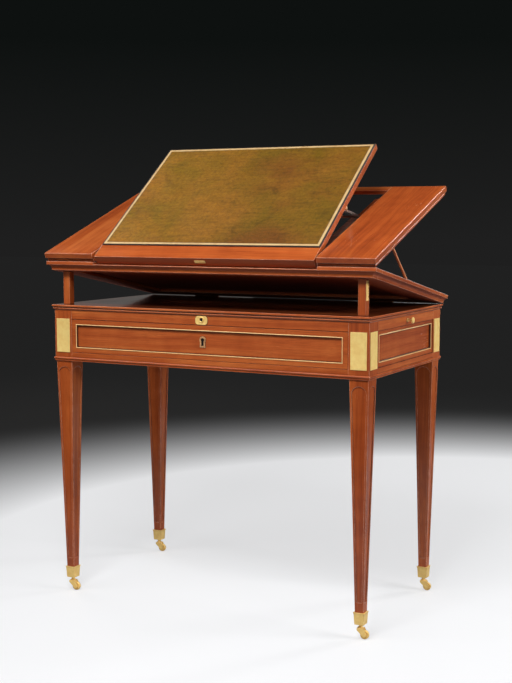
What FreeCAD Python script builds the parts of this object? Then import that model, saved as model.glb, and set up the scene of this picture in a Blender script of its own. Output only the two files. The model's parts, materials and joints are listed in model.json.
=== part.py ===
"""Architect table: a case on four legs under a lower leaf, an upper leaf and a reading slope.

Millimetres, +Z up, front towards -Y. The rest pose is the open table. Everything above the case is
drawn closed and flat, and is then turned about its own hinge into the open pose.
"""
import FreeCAD, Part
import math
import os

V = FreeCAD.Vector
ORIGIN = V(0, 0, 0)
ALONG_X = V(1, 0, 0)
ALONG_Y = V(0, 1, 0)
ALONG_Z = V(0, 0, 1)

# Case, from the outside in
rim_w = 818.0            # moulded top of the case, left to right
rim_d = 452.0            # moulded top of the case, front to back
case_h = 700.0           # floor to the upper face of the case
rim_t = 12.0             # thickness of the case top
rim_overhang = 5.0       # case top beyond the case body
slide_h = 21.5           # band of the writing slide and the candle slides
drawer_h = 79.5          # band of the drawer
bottom_rail_h = 11.5     # rail below the drawer
bottom_mould_h = 9.0     # moulding round the foot of the case
bottom_mould_out = 3.0   # moulding beyond the case body
corner = 48.0            # square corner block above each leg
panel_t = 18.0           # side panels
panel_recess = 2.0       # side panels behind the corner blocks
back_t = 16.0            # back panel
rail_t = 20.0            # rail below the drawer, front to back

# Legs, shoes and casters
leg_top = 44.0           # square of the leg below the case
leg_foot = 20.0          # square of the leg at the top of the shoe
leg_sunk = 1.8           # depth of the sunk faces
leg_border = 4.5         # plain edge beside the sunk faces
arch_drop = 15.0         # head of the arch below the case
arch_rise = 14.0         # height of the arch
sunk_foot = 22.0         # sunk face ends above the shoe
shoe_h = 27.0            # brass shoe
shoe_z = 33.0            # lower end of the shoe above the floor
shoe_floor = 12.0        # solid lower part of the shoe
shoe_wall = 2.0          # wall beside the leg
shoe_collar_h = 4.5      # flared collar
shoe_collar_out = 1.2    # collar beyond the wall
wheel_d = 20.0           # caster wheel
wheel_w = 9.0            # width of the wheel
axle_d = 3.0             # wheel axle
caster_trail = 9.0       # wheel centre behind the swivel axis
caster_turn = 10.0       # degrees, heading of the casters at rest
fork_arm_t = 2.4         # cheeks of the fork
fork_eye_r = 4.0         # end of the cheeks round the axle
fork_crown_h = 4.0       # bridge of the fork
fork_crown_r = 7.5       # bridge of the fork, seen from above
stem_d = 6.0             # swivel stem, also the neck above the fork
stem_l = 9.0             # swivel stem inside the shoe
pivot_fit = 0.06         # radial clearance of every pin in its bore
running = 0.4            # clearance beside turning pieces

# Drawer, slides and their runners
sliding = 0.4            # clearance round the sliding pieces
drawer_reveal = 0.8      # gap round the drawer front
drawer_front_t = 18.0
drawer_side_t = 10.0
drawer_side_inset = 14.0  # drawer sides inside the opening
drawer_depth = 360.0     # drawer sides, front to back
drawer_side_low = 3.0    # drawer sides above the rail
drawer_side_h = 64.0
drawer_bottom_t = 6.0
drawer_bottom_up = 4.0   # bottom board above the lower edge of the sides
runner_w = 26.0          # strip that carries a drawer side
runner_t = 11.0
slide_runner_w = 20.0    # strip that carries the writing slide
slide_runner_t = 8.0
slide_lip = 16.0         # front lip of each slide
slide_board_t = 8.0      # boards of the slides
slide_depth = 330.0      # writing slide behind its lip
candle_depth = 238.0     # candle slide behind its lip
candle_side = 8.0        # candle board inside the corner blocks
guide_lip_w = 10.0       # guide below the candle board
guide_lip_t = 2.4
guide_web_t = 5.5        # guide beside the candle board

# Brass on the case
plaque_w = 37.5
plaque_h = 80.0
plaque_t = 1.2
plaque_edge = 0.5        # bevel of the plaques
bead_w = 2.8             # bevelled bead round a sunk field
bead_top_w = 1.2         # flat on top of the bead
bead_proud = 0.9         # bead beyond the face that it is let into
field_sunk = 4.6         # field inside the bead below that face
bead_inset_x = 12.5      # drawer bead inside the edges of the drawer front
bead_inset_z = 11.5
side_bead_inset_y = 9.0  # side bead inside the edges of the side panel
side_bead_low = 10.5     # side bead above the rail
side_bead_high = 8.5     # side bead below the candle slide
key_hole_r = 3.6         # round head of the keyhole
key_slot_w = 4.0         # slot at the head
key_slot_foot = 5.4      # slot at the foot
key_slot_l = 12.8        # slot below the middle of the head
key_rim = 4.4            # plate round the keyhole
key_plate_t = 1.2
key_depth = 8.0
key_up = 6.2             # middle of the head above the middle of the drawer
lock_w = 60.0
lock_h = 44.0
lock_t = 10.0
pull_w = 31.0            # oblong pull of the writing slide
pull_h = 19.6
pull_t = 1.8
pull_corner = 5.0
pull_boss_w = 19.0
pull_boss_h = 8.0
pull_boss_t = 4.0
knob_stem_r = 2.6        # turned knob of the candle slides
knob_head_r = 7.0
knob_head_l = 5.0
knob_l = 16.0

# Leaves
leaf_over_side = 12.5    # both leaves beyond the sides of the case top
leaf_over_front = 13.5   # both leaves beyond the front of the case top
flap_t = 20.0            # lower leaf
slab_t = 22.5            # upper leaf
leaf_gap = 0.3           # between the closed leaves, and between leaf and case
flap_setback = 2.5       # back edge of the leaves inside the case top
flap_angle = 10.26       # degrees, lower leaf above the case
slab_angle = 30.16       # degrees, upper leaf above the lower leaf
flap_rail_d = 34.5       # front rail of the lower leaf
flap_back_d = 60.0       # back rail of the lower leaf
flap_side_w = 70.0       # side rails of the lower leaf
flap_board_t = 12.0      # board between the rails
flap_notch_t = 6.4       # recess of the front rail below the reading slope
flap_notch_d = 22.0
stile_w = 135.0          # stiles of the upper leaf
slab_back_d = 30.0       # back rail of the upper leaf
slab_back_t = 9.0

# Posts
post = 17.4              # square of the posts
post_fit = 0.4           # clearance round the posts
post_l = 200.0
post_head_gap = 0.6      # post below the lower leaf
mortise_spare = 8.0      # mortise below the lowered post
post_low_gap = 0.8       # lowered post below the closed leaf
rack_w = 13.4            # toothed strip in the outer face of the posts
rack_l = 42.0
rack_t = 1.6
rack_top = 3.4           # strip below the lower leaf
rack_pitch = 6.0
rack_tooth = 1.1

# Hinges
back_hinge_x = 245.0     # middle of each back hinge
back_hinge_l = 70.0
front_hinge_in = 69.5    # middle of each hinge between the leaves, inside the side edges
front_hinge_l = 60.0
hinge_plate_t = 2.0
hinge_plate_l = 24.0     # plate of the front hinges, front to back
hinge_web = 3.6          # plate that reaches the knuckle
back_plate_h = 11.0
knuckle_r = 3.0
hinge_pin_r = 1.5
knuckle_gap = 0.3        # between knuckles
front_axis_in = 5.5      # hinge axis behind the front edge of the leaves

# Stays between the leaves: an equal-sided linkage
stay_in = 21.5           # middle of each stay inside the side edges of the leaves
stay_w = 4.4
stay_t = 3.8
stay_s = 134.0           # pivot of the stay from the front hinge
stay_rise = 4.0          # pivot above the lower face of the upper leaf
stay_eye_r = 3.6
stay_foot_r = 2.8
stay_pin_r = 1.5
groove_w = 9.0           # groove for the folded stay
groove_t = 8.0
groove_spare = 6.0
strip_w = 8.0            # toothed strip for the feet of the stays
strip_t = 4.0
strip_near = 150.0       # ends of the strip from the front hinge
strip_far = 262.0
strip_pitch = 9.0
strip_tooth = 2.4
strip_back = 6.3         # slanting back of a tooth

# Reading slope
slope_gap = 5.5          # beside the slope
slope_front = 2.0        # front edge behind the front of the upper leaf
slope_back_gap = 2.0
slope_t = 13.0
slope_angle = 17.4       # degrees above the upper leaf
slope_pivot_v = 23.3     # pivot behind the front of the upper leaf
slope_pivot_down = 8.6   # pivot below the upper face
slope_rail_d = 43.0      # thicker front rail of the slope
slope_rail_t = 20.0
slope_pin_r = 4.0
slope_pin_in = 20.0      # pin inside the slope
leather_edge = 1.0       # wood beside and behind the leather
leather_t = 1.6          # leather below the face of the slope
leather_proud = 2.2      # leather above the face of the slope
catch_w = 27.5           # brass plate on the front edge
catch_h = 6.6
catch_t = 1.0

# Prop of the reading slope and its racks
prop_s = 183.0           # pivot of the prop from the pivot of the slope
prop_l = 112.0
prop_down = 3.2          # prop axis below the slope
prop_pin_r = 2.0
prop_foot_r = 2.5
prop_arm_w = 10.0
prop_arm_t = 5.0
prop_arm_in = 18.0       # middle of each arm inside the edges of the slope
lug_w = 9.0              # lug at the edge of the slope
lug_r = 3.2              # half the length of a lug
comb_w = 44.0            # toothed rack on the stile
comb_t = 2.4
comb_near = 72.0         # ends of the rack behind the front of the upper leaf
comb_far = 306.0
comb_teeth = 16
comb_first = 135.0
comb_pitch = 10.5
comb_slot = 4.5
comb_slot_d = 8.0
ledge_w = 34.0           # ledge of the stile behind the rack
comb_foot_gap = 0.7      # foot of the prop above the rack

# Case heights and faces
rim_z = case_h - rim_t
slide_z = rim_z - slide_h
drawer_z = slide_z - drawer_h
rail_z = drawer_z - bottom_rail_h
case_z = rail_z - bottom_mould_h
body_x = rim_w / 2 - rim_overhang
body_y = rim_d / 2 - rim_overhang
block_x = body_x - corner / 2
block_y = body_y - corner / 2
inner_x = body_x - corner
inner_y = body_y - corner
back_inner_y = body_y - back_t
shoe_top = shoe_z + shoe_h
leg_end = shoe_z + shoe_floor

# Leaves when closed
flap_z = case_h + leaf_gap
flap_top = flap_z + flap_t
slab_z = flap_top + leaf_gap
slab_top = slab_z + slab_t
leaf_back = rim_d / 2 - flap_setback
leaf_front = -rim_d / 2 - leaf_over_front
leaf_x = rim_w / 2 + leaf_over_side
stay_x = leaf_x - stay_in
front_hinge_x = leaf_x - front_hinge_in
flap_axis = V(0, rim_d / 2 + knuckle_r + running, case_h + leaf_gap / 2)
slab_axis = V(0, leaf_front + front_axis_in, flap_top + leaf_gap / 2)
opening_x = leaf_x - stile_w
slope_x = opening_x - slope_gap
prop_arm_x = slope_x - prop_arm_in
slope_axis = V(0, leaf_front + slope_pivot_v, slab_top - slope_pivot_down)
slope_y0 = leaf_front + slope_front
slope_y1 = leaf_back - slab_back_d - slope_back_gap
prop_axis = V(0, slope_axis.y + prop_s, slab_top - slope_t - prop_down)
stay_axis = V(0, slab_axis.y + stay_s, slab_z + stay_rise)
stay_l = stay_s

# The stay turns twice as far as the upper leaf, because its two sides are equal
stay_angle = 2 * slab_angle
comb_top = slab_z + comb_t

# Members of the mouldings, from top to bottom
arris = 0.8              # eased edges
rim_fillet_h = 4.2       # case top: fillet, cove, second fillet, foot
rim_cove_in = 2.4
rim_cove_h = 3.4
rim_cove_swell = 0.9
rim_bead_in = 1.6
rim_bead_h = 2.2
rim_foot_swell = 0.6
flap_step_in = 0.5       # lower leaf: fillet, quirk, cove, foot
flap_fillet_h = 8.4
flap_quirk = 1.4
flap_cove_in = 8.6
flap_cove_h = 8.4
flap_cove_swell = 2.2
slab_fillet_h = 12.8     # upper leaf: fillet, step, round
slab_step_in = 5.5
slab_quirk_h = 1.8
slab_swell = 2.2
mould_top_in = 2.4       # foot of the case: round, step
mould_round_in = 0.6
mould_round_h = 4.6
mould_round_swell = 1.0
mould_foot_in = 2.0

# Edge profiles from top to bottom: inset, drop, swell of an arc
rim_cove_z = rim_fillet_h + rim_cove_h
rim_edge = [(arris, 0, 0), (0, arris, 0), (0, rim_fillet_h, 0), (rim_cove_in, rim_fillet_h, 0),
            (rim_cove_in, rim_cove_z, -rim_cove_swell), (rim_bead_in, rim_cove_z, 0),
            (rim_bead_in, rim_cove_z + rim_bead_h, 0), (rim_overhang - arris, rim_t, -rim_foot_swell)]
flap_cove_x = flap_step_in + flap_quirk
flap_edge = [(flap_step_in + arris, 0, 0), (flap_step_in, arris, 0), (flap_step_in, flap_fillet_h, 0),
             (flap_cove_x, flap_fillet_h, 0),
             (flap_cove_x + flap_cove_in, flap_fillet_h + flap_cove_h, -flap_cove_swell),
             (flap_cove_x + flap_cove_in, flap_t, 0)]
slab_edge = [(arris, 0, 0), (0, arris, 0), (0, slab_fillet_h, 0), (slab_step_in, slab_fillet_h, 0),
             (slab_step_in, slab_fillet_h + slab_quirk_h, 0), (slab_step_in, slab_t, slab_swell)]
mould_edge = [(mould_top_in, 0, 0), (mould_round_in, mould_round_h, mould_round_swell),
              (mould_foot_in, mould_round_h, 0), (mould_foot_in, bottom_mould_h, 0)]


def box(x0, x1, y0, y1, z0, z1):
    """Box between two corners."""
    return Part.makeBox(x1 - x0, y1 - y0, z1 - z0, V(x0, y0, z0))


def rod_x(radius, x0, x1, axis):
    """Round rod along X at the height and depth of an axis point."""
    return Part.makeCylinder(radius, x1 - x0, V(x0, axis.y, axis.z), ALONG_X)


def mirrored(shape):
    """The same piece on the other side."""
    return shape.mirror(ORIGIN, ALONG_X)


def prismatoid(low, high):
    """Solid between two outlines of as many corners, with flat sides."""
    faces = [low, high]
    for index in range(len(low)):
        faces.append([low[index - 1], low[index], high[index], high[index - 1]])
    shell = Part.makeShell([Part.Face(Part.makePolygon(face + face[:1])) for face in faces])
    return Part.makeSolid(shell)


def pair(shape):
    """A piece on the right with its twin on the left."""
    return Part.makeCompound([shape, mirrored(shape)])


def edge_curves(profile, place):
    """Lines and arcs of one moulded edge; place turns inset and drop into a point."""
    curves = []
    for start, end in zip(profile, profile[1:]):
        first = place(start[0], start[1])
        last = place(end[0], end[1])
        if end[2]:
            across = end[0] - start[0]
            down = end[1] - start[1]
            length = math.hypot(across, down)
            middle = place((start[0] + end[0]) / 2 - end[2] * down / length,
                           (start[1] + end[1]) / 2 + end[2] * across / length)
            curves.append(Part.Arc(first, middle, last).toShape())
        else:
            curves.append(Part.makeLine(first, last))
    return curves


def moulded_section(low, high, top, low_edge, high_edge, place):
    """Section between two moulded edges; place turns a distance and a height into a point."""
    falling = edge_curves(high_edge, lambda inset, drop: place(high - inset, top - drop))
    rising = edge_curves(low_edge, lambda inset, drop: place(low + inset, top - drop))
    upper = Part.makeLine(place(low + low_edge[0][0], top), place(high - high_edge[0][0], top))
    lower = Part.makeLine(place(low + low_edge[-1][0], top - low_edge[-1][1]),
                          place(high - high_edge[-1][0], top - high_edge[-1][1]))
    return Part.Face(Part.Wire(Part.__sortEdges__(falling + rising + [upper, lower])))


def moulded_block(x0, x1, y0, y1, top, edge, back_edge=None):
    """Board with the same moulding on its edges, mitred at the corners."""
    across = moulded_section(x0, x1, top, edge, edge, lambda u, z: V(u, y0, z))
    deep = moulded_section(y0, y1, top, edge, back_edge or edge, lambda u, z: V(x0, u, z))
    return across.extrude(V(0, y1 - y0, 0)).common(deep.extrude(V(x1 - x0, 0, 0)))


def raise_flap(shape):
    """Lower leaf and what it carries, turned up at the back hinge."""
    return shape.rotated(flap_axis, ALONG_X, -flap_angle)


def raise_slab(shape):
    """Upper leaf and what it carries."""
    return raise_flap(shape.rotated(slab_axis, ALONG_X, slab_angle))


def raise_slope(shape):
    """Reading slope and what it carries."""
    return raise_slab(shape.rotated(slope_axis, ALONG_X, slope_angle))


def swing_stay(shape):
    """Stay swung down from the upper leaf onto the lower leaf."""
    return raise_slab(shape.rotated(stay_axis, ALONG_X, -stay_angle))


def prop_swing():
    """Degrees between the prop and the slope when its foot stands just above the rack."""
    turn = math.radians(slope_angle)
    hang = prop_axis.z - slope_axis.z
    pivot_z = slope_axis.z + prop_s * math.sin(turn) + hang * math.cos(turn)
    foot_z = comb_top + comb_foot_gap + prop_foot_r
    return slope_angle + math.degrees(math.asin((pivot_z - foot_z) / prop_l))


def swing_prop(shape):
    """Prop swung down from the slope onto the racks."""
    return raise_slope(shape.rotated(prop_axis, ALONG_X, -prop_swing()))


def centre_shift():
    """Depth that brings the middle of the open table to the origin."""
    front = raise_slab(Part.Vertex(0, leaf_front, slab_top - arris)).Point.y
    back = flap_axis.y + knuckle_r
    return -(front + back) / 2


def leg_half(z):
    """Half the width of a leg at a height."""
    slope = (leg_top - leg_foot) / (case_z - shoe_top)
    return (leg_foot + slope * (z - shoe_top)) / 2


def frustum(x, y, z0, z1, half0, half1):
    """Square taper about an upright axis."""
    rings = []
    for z, half in ((z0, half0), (z1, half1)):
        rings.append([V(x - half, y - half, z), V(x + half, y - half, z), V(x + half, y + half, z),
                      V(x - half, y + half, z)])
    return prismatoid(rings[0], rings[1])


def sunk_outline(place):
    """Arch-headed outline of a sunk face; place turns a width and a height into a point."""
    foot_z = shoe_top + sunk_foot
    spring_z = case_z - arch_drop - arch_rise
    foot = leg_half(foot_z) - leg_border
    spring = leg_half(spring_z) - leg_border
    edges = [Part.makeLine(place(-spring, spring_z), place(-foot, foot_z)),
             Part.makeLine(place(-foot, foot_z), place(foot, foot_z)),
             Part.makeLine(place(foot, foot_z), place(spring, spring_z)),
             Part.Arc(place(spring, spring_z), place(0, spring_z + arch_rise),
                      place(-spring, spring_z)).toShape()]
    return Part.Face(Part.Wire(Part.__sortEdges__(edges)))


def leg(x, y, mortised):
    """Tapering leg with sunk faces below its corner block."""
    taper = frustum(x, y, leg_end, case_z, leg_half(leg_end), leg_top / 2)
    core = frustum(x, y, leg_end, case_z, leg_half(leg_end) - leg_sunk, leg_top / 2 - leg_sunk)
    skin = taper.cut(core)
    fronts = sunk_outline(lambda u, z: V(x + u, y - leg_top, z)).extrude(V(0, 2 * leg_top, 0))
    sides = sunk_outline(lambda u, z: V(x - leg_top, y + u, z)).extrude(V(2 * leg_top, 0, 0))
    taper = taper.cut(skin.common(fronts)).cut(skin.common(sides))
    half = corner / 2
    whole = box(x - half, x + half, y - half, y + half, case_z, rim_z).fuse(taper).removeSplitter()
    if mortised:
        whole = whole.cut(post_hole(x, y))
    return whole


def post_head_z():
    """Height of the lower leaf's under face above the middle of a post."""
    turn = math.radians(flap_angle)
    reach = flap_axis.y + block_y
    return flap_axis.z + reach * math.tan(turn) + (leaf_gap / 2) / math.cos(turn)


def post_drop():
    """Travel of the posts down to the closed table."""
    turn = math.radians(flap_angle)
    highest = post_head_z() + post / 2 * math.tan(turn) - post_head_gap / math.cos(turn)
    return highest - flap_z + post_low_gap


def post_hole(x, y):
    """Square hole for a post through the case top and down the leg."""
    half = post / 2 + post_fit
    floor = post_head_z() - post_drop() - post_l - mortise_spare
    return box(x - half, x + half, y - half, y + half, floor, case_h + rim_t)


def case_top():
    """Polished top of the case with a moulded rim and holes for the posts."""
    board = moulded_block(-rim_w / 2, rim_w / 2, -rim_d / 2, rim_d / 2, case_h, rim_edge)
    for x in (-block_x, block_x):
        board = board.cut(post_hole(x, -block_y))
    return board


def bead_block(width, height, edge, low, high):
    """Block in the XZ plane, centred on the origin, its sides sloping in by edge between two depths."""
    rings = []
    for y, inset in ((low, 0), (high, edge)):
        half_w = width / 2 - inset
        half_h = height / 2 - inset
        rings.append([V(-half_w, y, -half_h), V(half_w, y, -half_h), V(half_w, y, half_h),
                      V(-half_w, y, half_h)])
    return prismatoid(rings[0], rings[1])


def sunk_field(width, height):
    """Room for a bead frame and its field, in the XZ plane and open towards -Y."""
    return box(-width / 2, width / 2, -field_sunk, field_sunk, -height / 2, height / 2)


def bead_frame(width, height):
    """Bevelled bead frame round a sunk field, facing -Y, centred on the origin."""
    edge = (bead_w - bead_top_w) / 2
    base = box(-width / 2, width / 2, 0, field_sunk, -height / 2, height / 2)
    frame = base.fuse(bead_block(width, height, edge, 0, -bead_proud))
    inner_w = width - 2 * bead_w
    inner_h = height - 2 * bead_w
    frame = frame.cut(box(-inner_w / 2, inner_w / 2, 0, field_sunk, -inner_h / 2, inner_h / 2))
    return frame.cut(bead_block(inner_w, inner_h, -edge, 0, -bead_proud))


def side_bead_place(shape):
    """Bead frame or its room, turned onto the right side panel."""
    turned = shape.rotated(ORIGIN, ALONG_Z, 90)
    low = drawer_z + side_bead_low
    high = slide_z - side_bead_high
    turned.translate(V(body_x - panel_recess, 0, (low + high) / 2))
    return turned


def side_bead_size():
    """Width and height of the bead frames on the side panels."""
    return 2 * (inner_y - side_bead_inset_y), drawer_h - side_bead_low - side_bead_high


def side_panel():
    """Right side panel, sunk above its bottom rail and again inside the bead."""
    inner = body_x - panel_t
    rail = box(inner, body_x, -inner_y, inner_y, case_z, drawer_z)
    field = box(inner, body_x - panel_recess, -inner_y, inner_y, drawer_z, slide_z)
    room = side_bead_place(sunk_field(*side_bead_size()))
    return rail.fuse(field).removeSplitter().cut(room)


def bottom_mouldings():
    """Moulding strips round the foot of the case."""
    out_x = body_x + bottom_mould_out
    out_y = body_y + bottom_mould_out
    ring = moulded_block(-out_x, out_x, -out_y, out_y, rail_z, mould_edge)
    ring = ring.cut(box(-body_x, body_x, -body_y, body_y, case_z, rail_z))
    front = ring.common(box(-out_x, out_x, -out_y, -body_y, case_z, rail_z))
    back = ring.common(box(-out_x, out_x, body_y, out_y, case_z, rail_z))
    right = ring.common(box(body_x, out_x, -body_y, body_y, case_z, rail_z))
    return Part.makeCompound([front, back, right, mirrored(right)])


def plate(x0, x1, y0, y1, z0, z1, face_edges):
    """Box with the edges of one face bevelled."""
    block = box(x0, x1, y0, y1, z0, z1)
    edges = [edge for edge in block.Edges if face_edges(edge.CenterOfMass)]
    return block.makeChamfer(plaque_edge, edges)


def plaques():
    """Brass plates on the front and outer faces of the corner blocks."""
    half = plaque_w / 2
    top = drawer_z + plaque_h
    front_y = -body_y - plaque_t
    front = plate(block_x - half, block_x + half, front_y, -body_y, drawer_z, top,
                  lambda c: abs(c.y - front_y) < plaque_edge)
    shapes = [front]
    side_x = body_x + plaque_t
    for y in (-block_y, block_y):
        shapes.append(plate(body_x, side_x, y - half, y + half, drawer_z, top,
                            lambda c: abs(c.x - side_x) < plaque_edge))
    return Part.makeCompound(shapes + [mirrored(shape) for shape in shapes])


def side_beads():
    """Bead frames on the two side panels."""
    return pair(side_bead_place(bead_frame(*side_bead_size())))


def shoe(x, y):
    """Brass shoe on a leg, with a flared collar and a socket for the caster."""
    collar_z = shoe_top - shoe_collar_h
    low = leg_half(leg_end) + shoe_wall / 2
    high = leg_half(collar_z) + shoe_wall
    cup = frustum(x, y, shoe_z, collar_z, low, high)
    collar = frustum(x, y, collar_z, shoe_top, high, high + shoe_collar_out)
    leg_shape = frustum(x, y, leg_end, shoe_top, leg_half(leg_end), leg_half(shoe_top))
    socket = Part.makeCylinder(stem_d / 2 + pivot_fit, stem_l + running, V(x, y, shoe_z))
    return cup.fuse(collar).removeSplitter().cut(leg_shape).cut(socket)


def fork_cheek(y0):
    """One cheek of a fork, from the bridge down past the axle."""
    wheel_r = wheel_d / 2
    low = wheel_d + running
    half = fork_eye_r / 2
    sweep = [V(-fork_crown_r, y0, low + fork_crown_h), V(fork_crown_r, y0, low + fork_crown_h),
             V(caster_trail + fork_eye_r, y0, wheel_r + half),
             V(caster_trail + fork_eye_r, y0, wheel_r - half),
             V(caster_trail + half, y0, wheel_r - fork_eye_r),
             V(caster_trail - half, y0, wheel_r - fork_eye_r),
             V(caster_trail - fork_eye_r, y0, wheel_r - half), V(-fork_crown_r, y0, low)]
    face = Part.Face(Part.makePolygon(sweep + sweep[:1]))
    return face.extrude(V(0, fork_arm_t, 0))


def caster_fork():
    """Swivelling fork with its stem and axle, about an upright axis at the origin."""
    inner = wheel_w / 2 + running
    outer = inner + fork_arm_t
    low = wheel_d + running
    top = low + fork_crown_h
    bridge = box(-fork_crown_r, fork_crown_r, -outer, outer, low, top)
    stem = Part.makeCylinder(stem_d / 2, shoe_z - running + stem_l - top, V(0, 0, top))
    seat = inner + fork_arm_t / 2
    axle = Part.makeCylinder(axle_d / 2, 2 * seat, V(caster_trail, -seat, wheel_d / 2), ALONG_Y)
    pieces = [stem, axle, fork_cheek(inner), fork_cheek(-outer)]
    return bridge.multiFuse(pieces).removeSplitter()


def caster_wheel():
    """Wheel with a bore for the axle, beside the swivel axis at the origin."""
    middle = V(caster_trail, -wheel_w / 2, wheel_d / 2)
    wheel = Part.makeCylinder(wheel_d / 2, wheel_w, middle, ALONG_Y)
    return wheel.cut(Part.makeCylinder(axle_d / 2 + pivot_fit, wheel_w, middle, ALONG_Y))


def at_leg(shape, x, y):
    """Caster piece turned to its heading and moved below a leg."""
    turned = shape.rotated(ORIGIN, ALONG_Z, caster_turn)
    turned.translate(V(x, y, 0))
    return turned


def runners():
    """Strips that carry the drawer and the writing slide, between front and back."""
    drawer_top = drawer_z + drawer_side_low - sliding
    low = box(inner_x - runner_w, inner_x, -body_y + rail_t, back_inner_y,
              drawer_top - runner_t, drawer_top)
    slide_top = slide_z + sliding
    behind = max(drawer_front_t, slide_lip) + sliding
    high = box(inner_x - slide_runner_w, inner_x, -body_y + behind, back_inner_y,
               slide_top - slide_runner_t, slide_top)
    return Part.makeCompound([low, mirrored(low), high, mirrored(high)])


def candle_z():
    """Height of the lower face of the candle boards."""
    return slide_z + 3 * sliding + slide_board_t + guide_lip_t


def candle_guides():
    """L-shaped guides of the candle slides, under the case top."""
    board_y = inner_y - candle_side
    low = candle_z() - sliding / 2 - guide_lip_t
    x0 = body_x - slide_lip - candle_depth
    x1 = body_x - panel_t
    lip = box(x0, x1, board_y - guide_lip_w, board_y + sliding + guide_web_t, low, low + guide_lip_t)
    web = box(x0, x1, board_y + sliding, board_y + sliding + guide_web_t, low + guide_lip_t, rim_z)
    right = lip.fuse(web).removeSplitter()
    left = right.mirror(ORIGIN, ALONG_Y)
    return Part.makeCompound([right, left, mirrored(right), mirrored(left)])


def key_shape(grow, depth):
    """Keyhole from the plate's face inwards; grown, it is the outline of the plate round it."""
    z = drawer_z + drawer_h / 2 + key_up
    y = -body_y - key_plate_t
    foot = z - key_slot_l - grow
    eye = Part.makeCylinder(key_hole_r + grow, depth, V(0, y, z), ALONG_Y)
    half = key_slot_w / 2 + grow
    half_foot = key_slot_foot / 2 + grow
    corners = [V(-half, y, z), V(-half_foot, y, foot), V(half_foot, y, foot), V(half, y, z)]
    slot = Part.Face(Part.makePolygon(corners + corners[:1])).extrude(V(0, depth, 0))
    return eye.fuse(slot).removeSplitter()


def drawer_front():
    """Drawer front with a sunk field inside the bead, and a keyhole."""
    half = inner_x - drawer_reveal
    board = box(-half, half, -body_y, -body_y + drawer_front_t, drawer_z + drawer_reveal,
                slide_z - drawer_reveal)
    room = drawer_bead_place(sunk_field(*drawer_bead_size()))
    return board.cut(room).cut(key_shape(0, key_depth + field_sunk))


def drawer_walls():
    """Sides of the drawer, its back and its bottom board."""
    out_x = inner_x - drawer_side_inset
    in_x = out_x - drawer_side_t
    y0 = -body_y + drawer_front_t
    y1 = y0 + drawer_depth
    z0 = drawer_z + drawer_side_low
    z1 = z0 + drawer_side_h
    floor = z0 + drawer_bottom_up
    right = box(in_x, out_x, y0, y1, z0, z1)
    back = box(-in_x, in_x, y1 - drawer_side_t, y1, z0, z1)
    bottom = box(-in_x, in_x, y0, y1 - drawer_side_t, floor, floor + drawer_bottom_t)
    return pair(right), back, bottom


def drawer_bead_size():
    """Width and height of the bead frame on the drawer front."""
    return 2 * (inner_x - bead_inset_x), drawer_h - 2 * bead_inset_z


def drawer_bead_place(shape):
    """Bead frame or its room, moved onto the drawer front."""
    moved = shape.copy()
    moved.translate(V(0, -body_y, drawer_z + drawer_h / 2))
    return moved


def drawer_bead():
    """Bead frame on the drawer front."""
    return drawer_bead_place(bead_frame(*drawer_bead_size()))


def key_plate():
    """Plate that lines the keyhole and stands on the sunk field."""
    plate_shape = key_shape(key_rim, key_plate_t).cut(key_shape(0, key_plate_t))
    plate_shape.translate(V(0, field_sunk, 0))
    return plate_shape


def drawer_lock():
    """Lock case behind the drawer front."""
    y = -body_y + drawer_front_t
    z = slide_z - drawer_reveal
    return box(-lock_w / 2, lock_w / 2, y, y + lock_t, z - lock_h, z - drawer_side_low)


def writing_slide():
    """Lip and board of the writing slide."""
    half = inner_x - sliding
    y = -body_y + slide_lip
    z = slide_z + sliding
    lip = box(-half, half, -body_y, y, z, rim_z - sliding)
    board = box(-half, half, y, y + slide_depth, z + sliding / 2, z + sliding / 2 + slide_board_t)
    return Part.makeCompound([lip, board])


def writing_pull():
    """Oblong brass pull with a raised grip."""
    y = -body_y
    z = (slide_z + rim_z) / 2
    base = box(-pull_w / 2, pull_w / 2, y - pull_t, y, z - pull_h / 2, z + pull_h / 2)
    corners = [edge for edge in base.Edges if abs(edge.tangentAt(edge.FirstParameter).y) > 0.9]
    base = base.makeFillet(pull_corner, corners)
    grip = box(-pull_boss_w / 2, pull_boss_w / 2, y - pull_t - pull_boss_t, y - pull_t,
               z - pull_boss_h / 2, z + pull_boss_h / 2)
    ends = [edge for edge in grip.Edges if edge.CenterOfMass.y < y - pull_t - pull_boss_t / 2]
    grip = grip.makeChamfer(pull_boss_t / 2, ends)
    return base.fuse(grip)


def candle_slide():
    """Lip and board of the right candle slide."""
    x = body_x - slide_lip
    lip = box(x, body_x, -inner_y + sliding, inner_y - sliding, slide_z + sliding, rim_z - sliding)
    half = inner_y - candle_side
    low = candle_z()
    board = box(x - candle_depth, x, -half, half, low, low + slide_board_t)
    return Part.makeCompound([lip, board])


def candle_knob():
    """Turned knob on the right candle slide: a disc on a stem."""
    neck = knob_l - knob_head_l
    points = [ORIGIN, V(knob_stem_r, 0, 0), V(knob_stem_r, 0, neck), V(knob_head_r, 0, neck),
              V(knob_head_r, 0, knob_l), V(0, 0, knob_l), ORIGIN]
    knob = Part.Face(Part.makePolygon(points)).revolve(ORIGIN, ALONG_Z, 360)
    knob = knob.rotated(ORIGIN, ALONG_Y, 90)
    knob.translate(V(body_x, 0, (slide_z + rim_z) / 2))
    return knob


def post_shape():
    """Right post, its head cut to the slope of the lower leaf."""
    half = post / 2
    head = post_head_z()
    foot = head - post_l
    whole = box(block_x - half, block_x + half, -block_y - half, -block_y + half, foot, head + half)
    turn = math.radians(flap_angle)
    lower = head - post_head_gap / math.cos(turn)
    cutter = box(block_x - post, block_x + post, -block_y - post_l, -block_y + post_l, lower,
                 lower + post_l)
    cutter = cutter.rotated(V(0, -block_y, lower), ALONG_X, -flap_angle)
    return whole.cut(cutter)


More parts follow.
